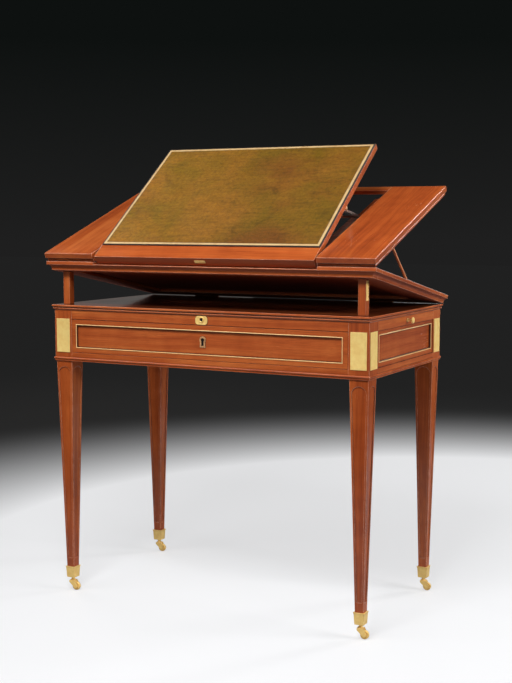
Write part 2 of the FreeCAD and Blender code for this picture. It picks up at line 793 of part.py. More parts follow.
def post_rack_blank():
    """Strip let into the outer face of the right post."""
    top = post_head_z() - rack_top
    x = block_x + post / 2
    return box(x - rack_t, x, -block_y - rack_w / 2, -block_y + rack_w / 2, top - rack_l, top)


def post_rack():
    """Strip with saw teeth for the catch inside the leg."""
    strip = post_rack_blank()
    x = block_x + post / 2
    top = strip.BoundBox.ZMax - rack_pitch / 2
    count = int((rack_l - rack_pitch) / rack_pitch)
    for index in range(count):
        z = top - index * rack_pitch
        notch = Part.Face(Part.makePolygon([V(x, 0, z), V(x - rack_tooth, 0, z),
                                            V(x, 0, z - rack_pitch / 2), V(x, 0, z)]))
        notch.translate(V(0, -block_y - rack_w, 0))
        strip = strip.cut(notch.extrude(V(0, 2 * rack_w, 0)))
    return strip


def knuckle_spans(middle, length):
    """Spans along X of the two outer knuckles and of the middle one."""
    x0 = middle - length / 2
    third = length / 3
    outer = [(x0, x0 + third), (x0 + 2 * third, x0 + length)]
    inner = [(x0 + third + knuckle_gap, x0 + 2 * third - knuckle_gap)]
    return outer, inner


def hinge_leaf(leaf, axis, spans, web):
    """Plate with knuckles; web gives the depth and height range between plate and axis."""
    for x0, x1 in spans:
        leaf = leaf.fuse(box(x0, x1, web[0], web[1], web[2], web[3]))
        leaf = leaf.fuse(rod_x(knuckle_r, x0, x1, axis))
    return leaf.removeSplitter()


def hinge_pin(middle, length, axis, radius):
    """Pin that ends inside the outer knuckles, or with a larger radius its bore."""
    reach = length / 3
    return rod_x(radius, middle - reach, middle + reach, axis)


def back_hinge():
    """Right back hinge: the leaf on the case with the pin, and the leaf on the lower leaf."""
    outer, inner = knuckle_spans(back_hinge_x, back_hinge_l)
    x0 = back_hinge_x - back_hinge_l / 2
    x1 = back_hinge_x + back_hinge_l / 2
    y = rim_d / 2
    fixed = box(x0, x1, y, y + hinge_plate_t, case_h - back_plate_h, case_h - knuckle_r - running)
    fixed = hinge_leaf(fixed, flap_axis, outer,
                       (y, y + hinge_plate_t, case_h - knuckle_r - 2 * running, flap_axis.z))
    fixed = fixed.fuse(hinge_pin(back_hinge_x, back_hinge_l, flap_axis, hinge_pin_r))
    moving = box(x0, x1, leaf_back, leaf_back + hinge_plate_t, flap_z, flap_z + back_plate_h)
    moving = hinge_leaf(moving, flap_axis, inner,
                        (leaf_back, flap_axis.y, flap_z, flap_z + hinge_plate_t))
    bore = hinge_pin(back_hinge_x, back_hinge_l, flap_axis, hinge_pin_r + pivot_fit)
    return fixed.removeSplitter(), moving.cut(bore)


def front_plates():
    """Plates of the right front hinge, below and above the joint between the leaves."""
    x0 = front_hinge_x - front_hinge_l / 2
    x1 = front_hinge_x + front_hinge_l / 2
    y0 = slab_axis.y + hinge_web
    y1 = slab_axis.y + hinge_plate_l
    lower = box(x0, x1, y0, y1, flap_top - hinge_plate_t, flap_top)
    upper = box(x0, x1, y0, y1, slab_z, slab_z + hinge_plate_t)
    return lower, upper


def front_hinge():
    """Right front hinge: the leaf in the lower leaf with the pin, and the leaf in the upper leaf."""
    outer, inner = knuckle_spans(front_hinge_x, front_hinge_l)
    lower, upper = front_plates()
    y0 = slab_axis.y
    y1 = y0 + hinge_web
    fixed = hinge_leaf(lower, slab_axis, outer, (y0, y1, flap_top - hinge_plate_t, flap_top))
    fixed = fixed.fuse(hinge_pin(front_hinge_x, front_hinge_l, slab_axis, hinge_pin_r))
    moving = hinge_leaf(upper, slab_axis, inner, (y0, y1, slab_z, slab_z + hinge_plate_t))
    bore = hinge_pin(front_hinge_x, front_hinge_l, slab_axis, hinge_pin_r + pivot_fit)
    return fixed.removeSplitter(), moving.cut(bore)


def front_hinge_room(above):
    """Room for both front hinges in the wood of one leaf."""
    lower, upper = front_plates()
    plate_shape = upper if above else lower
    web = box(plate_shape.BoundBox.XMin, plate_shape.BoundBox.XMax, slab_axis.y,
              slab_axis.y + hinge_web, plate_shape.BoundBox.ZMin, plate_shape.BoundBox.ZMax)
    barrel = rod_x(knuckle_r + running, plate_shape.BoundBox.XMin - running,
                   plate_shape.BoundBox.XMax + running, slab_axis)
    return pair(plate_shape.fuse(web).fuse(barrel))


def strip_blank():
    """Toothed strip of the right stay before its teeth."""
    return box(stay_x - strip_w / 2, stay_x + strip_w / 2, slab_axis.y + strip_near,
               slab_axis.y + strip_far, flap_top - strip_t, flap_top)


def stay_strip():
    """Strip with saw teeth that hold the foot of a stay."""
    strip = strip_blank()
    count = int((strip_far - strip_near) / strip_pitch) - 1
    for index in range(count):
        y = slab_axis.y + strip_near + (index + 1) * strip_pitch
        notch = Part.Face(Part.makePolygon([V(0, y, flap_top), V(0, y, flap_top - strip_tooth),
                                            V(0, y - strip_back, flap_top), V(0, y, flap_top)]))
        notch.translate(V(stay_x - strip_w, 0, 0))
        strip = strip.cut(notch.extrude(V(2 * strip_w, 0, 0)))
    return strip


def lower_leaf():
    """Rails and board of the lower leaf: front rail, back rail, side rails, board."""
    plain = [(0, 0, 0), (0, flap_t, 0)]
    whole = moulded_block(-leaf_x, leaf_x, leaf_front, leaf_back, flap_top, flap_edge, plain)
    whole = whole.cut(front_hinge_room(False)).cut(pair(strip_blank()))
    y0 = leaf_front + flap_rail_d
    y1 = leaf_back - flap_back_d
    x0 = leaf_x - flap_side_w
    front = whole.common(box(-leaf_x, leaf_x, leaf_front, y0, flap_z, flap_top))
    half = opening_x
    notch = leaf_front + flap_notch_d
    ends = [front.common(box(half, leaf_x, leaf_front, y0, flap_z, flap_top)),
            front.common(box(-leaf_x, -half, leaf_front, y0, flap_z, flap_top))]
    strips = [front.common(box(-half, half, leaf_front, notch, flap_z, flap_top - flap_notch_t)),
              front.common(box(-half, half, notch, y0, flap_z, flap_top))]
    front = Part.makeCompound(ends + strips)
    back = whole.common(box(-leaf_x, leaf_x, y1, leaf_back, flap_z, flap_top))
    right = whole.common(box(x0, leaf_x, y0, y1, flap_z, flap_top))
    board = box(-x0, x0, y0, y1, flap_top - flap_board_t, flap_top)
    return front, back, pair(right), board


def stay_groove():
    """Groove in the right stile for the folded stay."""
    reach = stay_eye_r + groove_spare
    return box(stay_x - groove_w / 2, stay_x + groove_w / 2, stay_axis.y - reach,
               stay_axis.y + stay_l + reach, slab_z, slab_z + groove_t)


def upper_leaf():
    """Right stile, left stile and back rail of the upper leaf."""
    whole = moulded_block(-leaf_x, leaf_x, leaf_front, leaf_back, slab_top, slab_edge)
    whole = whole.cut(front_hinge_room(True)).cut(pair(stay_groove()))
    right = whole.common(box(opening_x, leaf_x, leaf_front, leaf_back, slab_z, slab_top))
    rail_y = leaf_back - slab_back_d
    right = right.fuse(box(opening_x - ledge_w, opening_x, leaf_front + comb_far, rail_y, slab_z, comb_top))
    back = whole.common(box(-opening_x, opening_x, rail_y, leaf_back, slab_top - slab_back_t, slab_top))
    return right.removeSplitter(), mirrored(right.removeSplitter()), back


def slab_pins():
    """Pivot pins that the stiles hold for the slope and for the stays."""
    slope_pin = rod_x(slope_pin_r, slope_x - slope_pin_in, opening_x, slope_axis)
    stay_pin = rod_x(stay_pin_r, stay_x - groove_w / 2, stay_x + groove_w / 2, stay_axis)
    return Part.makeCompound([slope_pin, mirrored(slope_pin), stay_pin, mirrored(stay_pin)])


def comb_rack():
    """Toothed rack on the inner face of the right stile."""
    x0 = opening_x - comb_w
    bar = box(x0, opening_x, leaf_front + comb_near, leaf_front + comb_far, slab_z, comb_top)
    for index in range(comb_teeth):
        y = leaf_front + comb_first + index * comb_pitch
        bar = bar.cut(box(x0, x0 + comb_slot_d, y, y + comb_slot, slab_z, comb_top))
    return bar


def stay():
    """Right stay: a flat bar with an eye at the upper end and a rounded foot."""
    x0 = stay_x - stay_w / 2
    x1 = stay_x + stay_w / 2
    half = stay_t / 2
    foot = V(0, stay_axis.y + stay_l, stay_axis.z)
    bar = box(x0, x1, stay_axis.y, foot.y, stay_axis.z - half, stay_axis.z + half)
    bar = bar.fuse(rod_x(stay_foot_r, x0, x1, foot)).fuse(rod_x(stay_eye_r, x0, x1, stay_axis))
    return bar.removeSplitter().cut(rod_x(stay_pin_r + pivot_fit, x0, x1, stay_axis))


def slope_leather():
    """Leather panel of the slope, let in and standing proud."""
    half = slope_x - leather_edge
    return box(-half, half, slope_y0 + slope_rail_d, slope_y1 - leather_edge, slab_top - leather_t,
               slab_top + leather_proud)


def slope_board():
    """Board of the reading slope with a thicker front rail."""
    board = box(-slope_x, slope_x, slope_y0, slope_y1, slab_top - slope_t, slab_top)
    rail = box(-slope_x, slope_x, slope_y0, slope_y0 + slope_rail_d, slab_top - slope_rail_t, slab_top)
    whole = board.fuse(rail).removeSplitter().cut(slope_leather())
    bore = rod_x(slope_pin_r + pivot_fit, slope_x - slope_pin_in - running, slope_x, slope_axis)
    return whole.cut(pair(bore))


def slope_brass():
    """Lugs of the prop below the edges of the slope, and the plate on its front edge."""
    x1 = slope_x
    x0 = x1 - lug_w
    low = slab_top - slope_t
    lug = box(x0, x1, prop_axis.y - lug_r, prop_axis.y + lug_r, prop_axis.z - lug_r, low)
    lug = lug.cut(rod_x(prop_pin_r + pivot_fit, x0, x1, prop_axis))
    z = slab_top - slope_rail_t / 2
    catch = box(-catch_w / 2, catch_w / 2, slope_y0 - catch_t, slope_y0, z - catch_h / 2,
                z + catch_h / 2)
    return Part.makeCompound([lug, mirrored(lug), catch])


def slope_prop():
    """Prop frame: pivot rod, two arms and a foot rod."""
    foot = V(0, prop_axis.y + prop_l, prop_axis.z)
    half = prop_arm_t / 2
    frame = rod_x(prop_pin_r, -slope_x, slope_x, prop_axis)
    frame = frame.fuse(rod_x(prop_foot_r, -slope_x, slope_x, foot))
    for x in (-prop_arm_x, prop_arm_x):
        x0 = x - prop_arm_w / 2
        x1 = x + prop_arm_w / 2
        arm = box(x0, x1, prop_axis.y, foot.y, prop_axis.z - half, prop_axis.z + half)
        frame = frame.fuse(arm)
    return frame.removeSplitter()


def case_nodes():
    """Everything that stands still."""
    panel = side_panel()
    fixed, _ = back_hinge()
    shoes = [shoe(x, y) for x in (-block_x, block_x) for y in (-block_y, block_y)]
    return {
        "case_top": case_top(),
        "leg_front_left": leg(-block_x, -block_y, True),
        "leg_front_right": leg(block_x, -block_y, True),
        "leg_back_left": leg(-block_x, block_y, False),
        "leg_back_right": leg(block_x, block_y, False),
        "side_panel_left": mirrored(panel),
        "side_panel_right": panel,
        "back_panel": box(-inner_x, inner_x, back_inner_y, body_y, case_z, rim_z),
        "bottom_rail": box(-inner_x, inner_x, -body_y, -body_y + rail_t, case_z, drawer_z),
        "bottom_mouldings": bottom_mouldings(),
        "corner_plaques": plaques(),
        "side_beads": side_beads(),
        "runners": runners(),
        "candle_guides": candle_guides(),
        "shoes": Part.makeCompound(shoes),
        "back_hinge_case_leaves": pair(fixed),
    }


def caster_nodes():
    """Forks and wheels of the four casters."""
    fork = caster_fork()
    wheel = caster_wheel()
    places = {"front_left": (-block_x, -block_y), "front_right": (block_x, -block_y),
              "back_left": (-block_x, block_y), "back_right": (block_x, block_y)}
    nodes = {}
    for name, (x, y) in places.items():
        nodes["caster_fork_" + name] = at_leg(fork, x, y)
        nodes["caster_wheel_" + name] = at_leg(wheel, x, y)
    return nodes


def drawer_nodes():
    """Drawer, writing slide and candle slides."""
    sides, back, bottom = drawer_walls()
    slide = candle_slide()
    knob = candle_knob()
    return {
        "drawer_front": drawer_front(),
        "drawer_sides": sides,
        "drawer_back": back,
        "drawer_bottom": bottom,
        "drawer_bead": drawer_bead(),
        "key_plate": key_plate(),
        "drawer_lock": drawer_lock(),
        "writing_slide": writing_slide(),
        "writing_pull": writing_pull(),
        "candle_slide_left": mirrored(slide),
        "candle_slide_right": slide,
        "candle_knob_left": mirrored(knob),
        "candle_knob_right": knob,
    }


def leaf_nodes():
    """Posts, both leaves, stays, reading slope and prop, in the open pose."""
    front, back, sides, board = lower_leaf()
    _, flap_hinge = back_hinge()
    lower_hinge, upper_hinge = front_hinge()
    stile_right, stile_left, back_rail = upper_leaf()
    post_right = post_shape().cut(post_rack_blank())
    bar = stay()
    return {
        "post_left": mirrored(post_right),
        "post_right": post_right,
        "post_rack_left": mirrored(post_rack()),
        "post_rack_right": post_rack(),
        "lower_front_rail": raise_flap(front),
        "lower_back_rail": raise_flap(back),
        "lower_side_rails": raise_flap(sides),
        "lower_board": raise_flap(board),
        "back_hinge_leaves": raise_flap(pair(flap_hinge)),
        "front_hinge_lower_leaves": raise_flap(pair(lower_hinge)),
        "stay_strips": raise_flap(pair(stay_strip())),
        "upper_stile_left": raise_slab(stile_left),
        "upper_stile_right": raise_slab(stile_right),
        "upper_back_rail": raise_slab(back_rail),
        "front_hinge_upper_leaves": raise_slab(pair(upper_hinge)),
        "slope_racks": raise_slab(pair(comb_rack())),
        "pivot_pins": raise_slab(slab_pins()),
        "stay_left": swing_stay(mirrored(bar)),
        "stay_right": swing_stay(bar),
        "slope_board": raise_slope(slope_board()),
        "slope_leather": raise_slope(slope_leather()),
        "slope_brass": raise_slope(slope_brass()),
        "slope_prop": swing_prop(slope_prop()),
    }


def main():
    """Write every piece to its own file."""
    os.makedirs("parts", exist_ok=True)
    shift = V(0, centre_shift(), 0)
    for build in (case_nodes, caster_nodes, drawer_nodes, leaf_nodes):
        for name, shape in build().items():
            shape.translate(shift)
            shape.exportStep("parts/" + name + ".step")


if __name__ == "__main__":
    main()
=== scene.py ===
"""Looks of a mahogany architect table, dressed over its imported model.

Metres, +Z up, front towards -Y. The leaves, the stays and the reading slope are drawn closed and flat,
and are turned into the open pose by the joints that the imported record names.
"""

import json
import logging
import math
from contextlib import contextmanager
from dataclasses import dataclass, replace
from enum import Enum
from typing import Callable, Iterator, Sequence

import bmesh
import bpy
from mathutils import Matrix, Vector

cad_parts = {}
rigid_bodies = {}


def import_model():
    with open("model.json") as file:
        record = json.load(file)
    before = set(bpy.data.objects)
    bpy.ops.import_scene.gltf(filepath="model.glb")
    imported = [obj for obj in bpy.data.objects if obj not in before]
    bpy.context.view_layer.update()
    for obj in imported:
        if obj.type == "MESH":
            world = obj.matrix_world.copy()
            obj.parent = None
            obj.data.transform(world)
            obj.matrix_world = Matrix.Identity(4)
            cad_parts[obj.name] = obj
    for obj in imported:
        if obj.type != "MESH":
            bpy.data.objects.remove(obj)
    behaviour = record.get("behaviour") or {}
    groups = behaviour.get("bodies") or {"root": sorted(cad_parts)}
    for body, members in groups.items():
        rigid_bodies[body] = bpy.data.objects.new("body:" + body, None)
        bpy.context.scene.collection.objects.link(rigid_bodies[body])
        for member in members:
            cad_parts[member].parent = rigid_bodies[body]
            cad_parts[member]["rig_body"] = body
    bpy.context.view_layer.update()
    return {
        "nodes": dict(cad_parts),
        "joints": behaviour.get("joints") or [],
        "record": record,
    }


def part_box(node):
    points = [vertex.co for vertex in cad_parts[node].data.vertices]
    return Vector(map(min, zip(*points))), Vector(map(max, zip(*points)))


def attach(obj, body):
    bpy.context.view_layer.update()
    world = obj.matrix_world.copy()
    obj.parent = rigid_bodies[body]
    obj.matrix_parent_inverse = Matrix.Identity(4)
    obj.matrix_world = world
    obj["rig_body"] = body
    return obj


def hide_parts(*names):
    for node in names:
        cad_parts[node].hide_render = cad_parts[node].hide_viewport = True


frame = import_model()

LOG = logging.getLogger("architect_table")
MM = 0.001
WELD = 0.005 * MM        # corners closer than this are one corner
FULL_TURN = 2 * math.pi
FACING = 0.9             # a face with more of its normal along an axis looks along it
EDGE_ON = 0.1            # a face with less of its normal along an axis stands on edge to it
WAVE_SCALE = math.pi / 10    # scale of a wave node with its bands one metre apart
RAYS = 6                 # of the bevel and the occlusion nodes
NOOK_REACH = 4.0 * MM    # how far the painted shade of an inner corner reaches
LOG_STEPS = ((17, 0.31), (23, 0.17), (29, 0.23))    # places in the log along each axis and steps between them
TO_FRONT = Matrix.Rotation(math.pi / 2, 4, "X")     # turns what is drawn looking up to the front
CORNERS = ("front_left", "front_right", "back_left", "back_right")
Colour = tuple[float, float, float, float]
Outline = tuple[tuple[float, float], ...]
Piece = bpy.types.Object


# ---------------------------------------------------------------- frames of the moving bodies


class Body(Enum):
    """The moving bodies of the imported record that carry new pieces."""

    CASE = "case"
    UPPER_LEAF = "upper_leaf"
    SLOPE = "reading_slope"
    DRAWER = "drawer"
    WRITING_SLIDE = "front_slide"
    LEFT_POST = "left_post"
    RIGHT_POST = "right_post"


def joint_of(child: str) -> dict | None:
    """The joint that carries a body.

    Args:
        child: Name of the body.

    Returns:
        The record's joint, or None for the body that stands still.
    """
    return next((joint for joint in frame["joints"] if joint["child"] == child), None)


def open_pose(body: str) -> Matrix:
    """Turn of a body from the closed table to the open one.

    Args:
        body: Name of the body.

    Returns:
        Matrix from the flat, closed drawing to the rest pose.
    """
    joint = joint_of(body)
    if joint is None or joint["type"] != "hinge" or joint.get("continuous"):
        return Matrix.Identity(4)
    pivot = Matrix.Translation(Vector(joint["pos_m"]))
    turn = Matrix.Rotation(math.radians(-joint["range_deg"][0]), 4, Vector(joint["axis"]))
    return pivot @ turn @ pivot.inverted() @ open_pose(joint["parent"])


def closed_box(node: str) -> tuple[Vector, Vector]:
    """Corners of a CAD node in the flat, closed drawing.

    Args:
        node: Name of the CAD node.

    Returns:
        Lowest and highest corner.
    """
    shape = frame["nodes"][node]
    flat = open_pose(shape["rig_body"]).inverted()
    points = [flat @ corner.co for corner in shape.data.vertices]
    low = Vector([min(point[axis] for point in points) for axis in range(3)])
    high = Vector([max(point[axis] for point in points) for axis in range(3)])
    return low, high


# ---------------------------------------------------------------- the bench: shaping by operators


def deselect_all() -> None:
    """Leave nothing selected, because an operator acts on all that is."""
    bpy.ops.object.select_all(action="DESELECT")


def take_up(piece: Piece) -> None:
    """Select one piece alone and make it the active one.

    Args:
        piece: The piece that is worked on.
    """
    deselect_all()
    piece.select_set(True)
    bpy.context.view_layer.objects.active = piece


@contextmanager
def editing(piece: Piece) -> Iterator[Piece]:
    """Work on a piece in edit mode with everything selected.

    Args:
        piece: The piece to shape.

    Returns:
        The same piece, in edit mode until the block ends.
    """
    take_up(piece)
    bpy.ops.object.mode_set(mode="EDIT")
    bpy.ops.mesh.select_mode(type="VERT")
    bpy.ops.mesh.select_all(action="SELECT")
    try:
        yield piece
    finally:
        bpy.ops.object.mode_set(mode="OBJECT")


def pick_faces(piece: Piece, test: Callable[[Vector, Vector], bool]) -> None:
    """Select faces of a piece that is in edit mode.

    Args:
        piece: The piece in edit mode.
        test: Tells from a face's middle and normal whether it is taken.
    """
    bpy.ops.mesh.select_mode(type="FACE")
    bpy.ops.mesh.select_all(action="DESELECT")
    shape = bmesh.from_edit_mesh(piece.data)
    for face in shape.faces:
        face.select_set(test(face.calc_center_median(), face.normal))
    bmesh.update_edit_mesh(piece.data)


def pick_edges(piece: Piece, test: Callable[[Vector, Vector], bool]) -> None:
    """Select edges of a piece that is in edit mode.

    Args:
        piece: The piece in edit mode.
        test: Tells from an edge's two ends whether it is taken.
    """
    bpy.ops.mesh.select_mode(type="EDGE")
    bpy.ops.mesh.select_all(action="DESELECT")
    shape = bmesh.from_edit_mesh(piece.data)
    for edge in shape.edges:
        if test(edge.verts[0].co, edge.verts[1].co):
            edge.select_set(True)
    bmesh.update_edit_mesh(piece.data)


def settle() -> None:
    """Put the active piece's place, turn and scale into its mesh."""
    bpy.ops.object.transform_apply(location=True, rotation=True, scale=True)


def new_block(name: str, low: Vector, high: Vector) -> Piece:
    """Start a piece from a block between two corners.

    Args:
        name: Name of the piece.
        low: Lowest corner.
        high: Highest corner.

    Returns:
        The block, ready for shaping.
    """
    deselect_all()
    bpy.ops.mesh.primitive_cube_add(size=1, location=(low + high) / 2, scale=high - low)
    piece = bpy.context.active_object
    piece.name = name
    settle()
    return piece


def new_sheet(name: str, width: float, height: float) -> Piece:
    """Start a piece from a flat sheet on the XY plane, centred on the origin.

    Args:
        name: Name of the piece.
        width: Size along X.
        height: Size along Y.

    Returns:
        The sheet, ready for shaping.
    """
    deselect_all()
    bpy.ops.mesh.primitive_plane_add(size=1, location=(0, 0, 0))
    piece = bpy.context.active_object
    piece.name = name
    piece.scale = (width, height, 1)
    settle()
    return piece


def scaled(outline: Outline, radius: float, height: float) -> list[tuple[float, float]]:
    """Outline of shares brought to a radius and a height."""
    return [(out * radius, up * height) for out, up in outline]


def turned(name: str, profile: Sequence[tuple[float, float]], steps: int) -> Piece:
    """Turn a piece about the Z axis from the outline of half its section.

    Args:
        name: Name of the piece.
        profile: Radius and height of each corner of the outline, from foot to head.
        steps: Divisions of the full turn.

    Returns:
        The turned piece, with its foot at the origin.
    """
    deselect_all()
    bpy.ops.mesh.primitive_plane_add(size=MM, location=(0, 0, 0))
    piece = bpy.context.active_object
    piece.name = name
    points = [Vector((radius, 0, height)) for radius, height in profile]
    with editing(piece):
        bpy.ops.mesh.merge(type="CENTER")
        bpy.ops.mesh.select_all(action="SELECT")
        bpy.ops.transform.translate(value=points[0])
        for start, end in zip(points, points[1:]):
            bpy.ops.mesh.extrude_region_move(TRANSFORM_OT_translate={"value": end - start})
        bpy.ops.mesh.select_all(action="SELECT")
        bpy.ops.mesh.spin(steps=steps, angle=FULL_TURN, center=(0, 0, 0), axis=(0, 0, 1))
        bpy.ops.mesh.select_all(action="SELECT")
        bpy.ops.mesh.remove_doubles(threshold=WELD)
        bpy.ops.mesh.normals_make_consistent(inside=False)
    return piece


def round_over(piece: Piece, width: float, segments: int, angle: float = 40.0) -> None:
    """Round the sharp edges of a piece with an applied Bevel modifier.

    Args:
        piece: The piece to finish.
        width: Width of the rounding.
        segments: Divisions of the rounding.
        angle: Edges sharper than this many degrees are rounded.
    """
    take_up(piece)
    rounding = piece.modifiers.new("rounding", "BEVEL")
    rounding.width = width
    rounding.segments = segments
    rounding.limit_method = "ANGLE"
    rounding.angle_limit = math.radians(angle)
    bpy.ops.object.modifier_apply(modifier=rounding.name)


def thicken(piece: Piece, depth: float) -> None:
    """Give a sheet its thickness, downwards.

    Args:
        piece: The sheet.
        depth: Thickness.
    """
    take_up(piece)
    wall = piece.modifiers.new("wall", "SOLIDIFY")
    wall.thickness = depth
    wall.offset = -1
    wall.use_even_offset = True
    bpy.ops.object.modifier_apply(modifier=wall.name)


def smooth(piece: Piece, angle: float = 35.0) -> None:
    """Shade a piece smooth except over its sharp edges."""
    take_up(piece)
    bpy.ops.object.shade_smooth_by_angle(angle=math.radians(angle))


def copy_to(piece: Piece, name: str, place: Matrix) -> Piece:
    """Copy a finished piece with its own mesh to another place.

    Args:
        piece: The piece that is copied.
        name: Name of the copy.
        place: Where the copy goes.

    Returns:
        The copy, its place in its mesh.
    """
    take_up(piece)
    bpy.ops.object.duplicate(linked=False)
    copied = bpy.context.active_object
    copied.name = name
    copied.matrix_world = place @ piece.matrix_world
    settle()
    return copied


def scrap(piece: Piece) -> None:
    """Remove a pattern piece after its copies are made."""
    take_up(piece)
    bpy.ops.object.delete()


def move_to(piece: Piece, name: str, place: Matrix) -> Piece:
    """Put a finished piece in its place, under its own name.

    Args:
        piece: The piece, which is used up.
        name: Name of the piece in its place.
        place: Where it goes.

    Returns:
        The moved piece, its place in its mesh.
    """
    moved = copy_to(piece, name, place)
    scrap(piece)
    return moved


def join(pieces: Sequence[Piece], name: str) -> Piece:
    """Join pieces of one body into one.

    Args:
        pieces: The pieces, which end as one mesh.
        name: Name of the joined piece.

    Returns:
        The joined piece.
    """
    deselect_all()
    for piece in pieces:
        piece.select_set(True)
    bpy.context.view_layer.objects.active = pieces[0]
    bpy.ops.object.join()
    joined = bpy.context.active_object
    joined.name = name
    return joined


def dress(piece: Piece, finishes: Sequence[bpy.types.Material]) -> None:
    """Give a piece its materials, one to each slot in order.

    Args:
        piece: The piece.
        finishes: Its materials.
    """
    piece.data.materials.clear()
    for finish in finishes:
        piece.data.materials.append(finish)


def paint(piece: Piece, slot: int) -> None:
    """Give the picked faces of a piece in edit mode the material of a slot."""
    piece.active_material_index = slot
    bpy.ops.object.material_slot_assign()


def hang(piece: Piece, body: str, slot: str, *nodes: str) -> None:
    """Fasten a finished piece to its body and hide the CAD nodes that it replaces.

    Args:
        piece: The finished piece.
        body: The body that carries it.
        slot: The record's material slot; not used.
        nodes: CAD nodes that it replaces.
    """
    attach(piece, body)
    if nodes:
        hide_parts(*nodes)
    LOG.info("%s rides on %s, %d faces", piece.name, body, len(piece.data.polygons))


# ---------------------------------------------------------------- finishes: shared node groups


def tint(red: int, green: int, blue: int) -> Colour:
    """Colour as it looks on a screen, made linear.

    Args:
        red: 0 to 255.
        green: 0 to 255.
        blue: 0 to 255.

    Returns:
        Linear colour with full alpha.
    """
    def linear(value: int) -> float:
        """One channel made linear."""
        share = value / 255
        return share / 12.92 if share <= 0.04045 else ((share + 0.055) / 1.055) ** 2.4

    return linear(red), linear(green), linear(blue), 1.0


class Board:
    """A node tree under construction, with short words for its common nodes."""

    def __init__(self, tree: bpy.types.NodeTree) -> None:
        """Keep the tree that the nodes go into."""
        self.tree = tree

    def node(self, kind: str, **values: object) -> bpy.types.Node:
        """Add a node and set its properties.

        Args:
            kind: Blender's type name of the node.
            values: Properties of the node.

        Returns:
            The new node.
        """
        made = self.tree.nodes.new(kind)
        for name, value in values.items():
            setattr(made, name, value)
        return made

    def link(self, source: bpy.types.NodeSocket, target: bpy.types.NodeSocket) -> None:
        """Join an output to an input."""
        self.tree.links.new(source, target)

    def feed(self, target: bpy.types.NodeSocket, value: object) -> None:
        """Give an input a link or a plain value.

        Args:
            target: The input.
            value: Socket, or a value of the input's kind.
        """
        if isinstance(value, bpy.types.NodeSocket):
            self.link(value, target)
        else:
            target.default_value = value

    def math(self, operation: str, first: object, second: object = 0.0,
             clamp: bool = False) -> bpy.types.NodeSocket:
        """Combine two values.

        Args:
            operation: Blender's name of the operation.
            first: Socket or number.
            second: Socket or number.
            clamp: Keep the result between 0 and 1.

        Returns:
            The result's socket.
        """
        made = self.node("ShaderNodeMath", operation=operation, use_clamp=clamp)
        self.feed(made.inputs[0], first)
        self.feed(made.inputs[1], second)
        return made.outputs[0]

    def plus(self, value: object, more: bpy.types.NodeSocket, share: float) -> bpy.types.NodeSocket:
        """Add a share of one value to another."""
        return self.math("ADD", value, self.math("MULTIPLY", more, share))

    def noise(self, vector: bpy.types.NodeSocket, scale: float, detail: float,
              rough: float = 0.5, distortion: float = 0.0) -> bpy.types.NodeSocket:
        """Cloudy values over a surface.

        Args:
            vector: Coordinates.
            scale: Clouds to the metre.
            detail: Octaves.
            rough: Share of the fine octaves.
            distortion: Swirl of the clouds.

        Returns:
            Socket with values about one half.
        """
        made = self.node("ShaderNodeTexNoise")
        self.link(vector, made.inputs["Vector"])
        made.inputs["Scale"].default_value = scale
        made.inputs["Detail"].default_value = detail
        made.inputs["Roughness"].default_value = rough
        made.inputs["Distortion"].default_value = distortion
        return made.outputs["Fac"]

    def stretch(self, vector: bpy.types.NodeSocket,
                scale: tuple[float, float, float]) -> bpy.types.NodeSocket:
        """Coordinates multiplied axis by axis.

        Args:
            vector: Coordinates.
            scale: Factor along each axis.

        Returns:
            Socket with the new coordinates.
        """
        made = self.node("ShaderNodeVectorMath", operation="MULTIPLY")
        self.link(vector, made.inputs[0])
        made.inputs[1].default_value = scale
        return made.outputs["Vector"]

    def streaks(self, vector: bpy.types.NodeSocket, scale: tuple[float, float, float], detail: float,
                rough: float = 0.5, distortion: float = 0.0) -> bpy.types.NodeSocket:
        """Cloudy values drawn out along the axes, with the clouds to the metre along each as the scale."""
        return self.noise(self.stretch(vector, scale), 1.0, detail, rough, distortion)

    def span(self, value: bpy.types.NodeSocket, low: float, high: float, to_low: float = 0.0,
             to_high: float = 1.0) -> bpy.types.NodeSocket:
        """Values between low and high spread over another range, and held at its ends.

        Args:
            value: The values.
            low: Becomes to_low.
            high: Becomes to_high.
            to_low: Start of the new range.
            to_high: End of the new range.

        Returns:
            Socket with the new values.
        """
        made = self.node("ShaderNodeMapRange", clamp=True)
        self.link(value, made.inputs["Value"])
        for name, number in (("From Min", low), ("From Max", high), ("To Min", to_low), ("To Max", to_high)):
            made.inputs[name].default_value = number
        return made.outputs["Result"]

    def ramp(self, value: bpy.types.NodeSocket,
             stops: Sequence[tuple[float, Colour]]) -> bpy.types.NodeSocket:
        """Colours along a value.

        Args:
            value: Value between 0 and 1.
            stops: Places and colours.

        Returns:
            Colour socket.
        """
        made = self.node("ShaderNodeValToRGB")
        self.link(value, made.inputs["Fac"])
        points = made.color_ramp.elements
        while len(points) < len(stops):
            points.new(0.5)
        for point, (place, colour) in zip(points, stops):
            point.position = place
            point.color = colour
        return made.outputs["Color"]

    def mix(self, share: object, first: object, second: object,
            blend: str = "MIX") -> bpy.types.NodeSocket:
        """Mix two colours.

        Args:
            share: Socket or number, the part of the second.
            first: Socket or colour.
            second: Socket or colour.
            blend: Blender's name of the way of mixing.

        Returns:
            Colour socket.
        """
        made = self.node("ShaderNodeMix", data_type="RGBA", blend_type=blend)
        self.feed(made.inputs["Factor"], share)
        self.feed(made.inputs[6], first)
        self.feed(made.inputs[7], second)
        return made.outputs[2]

    def lay(self, under: object, over: Colour, mask: bpy.types.NodeSocket, share: float) -> bpy.types.NodeSocket:
        """Lay a share of a colour over another, as far as a mask goes."""
        return self.mix(self.math("MULTIPLY", mask, share), under, over)

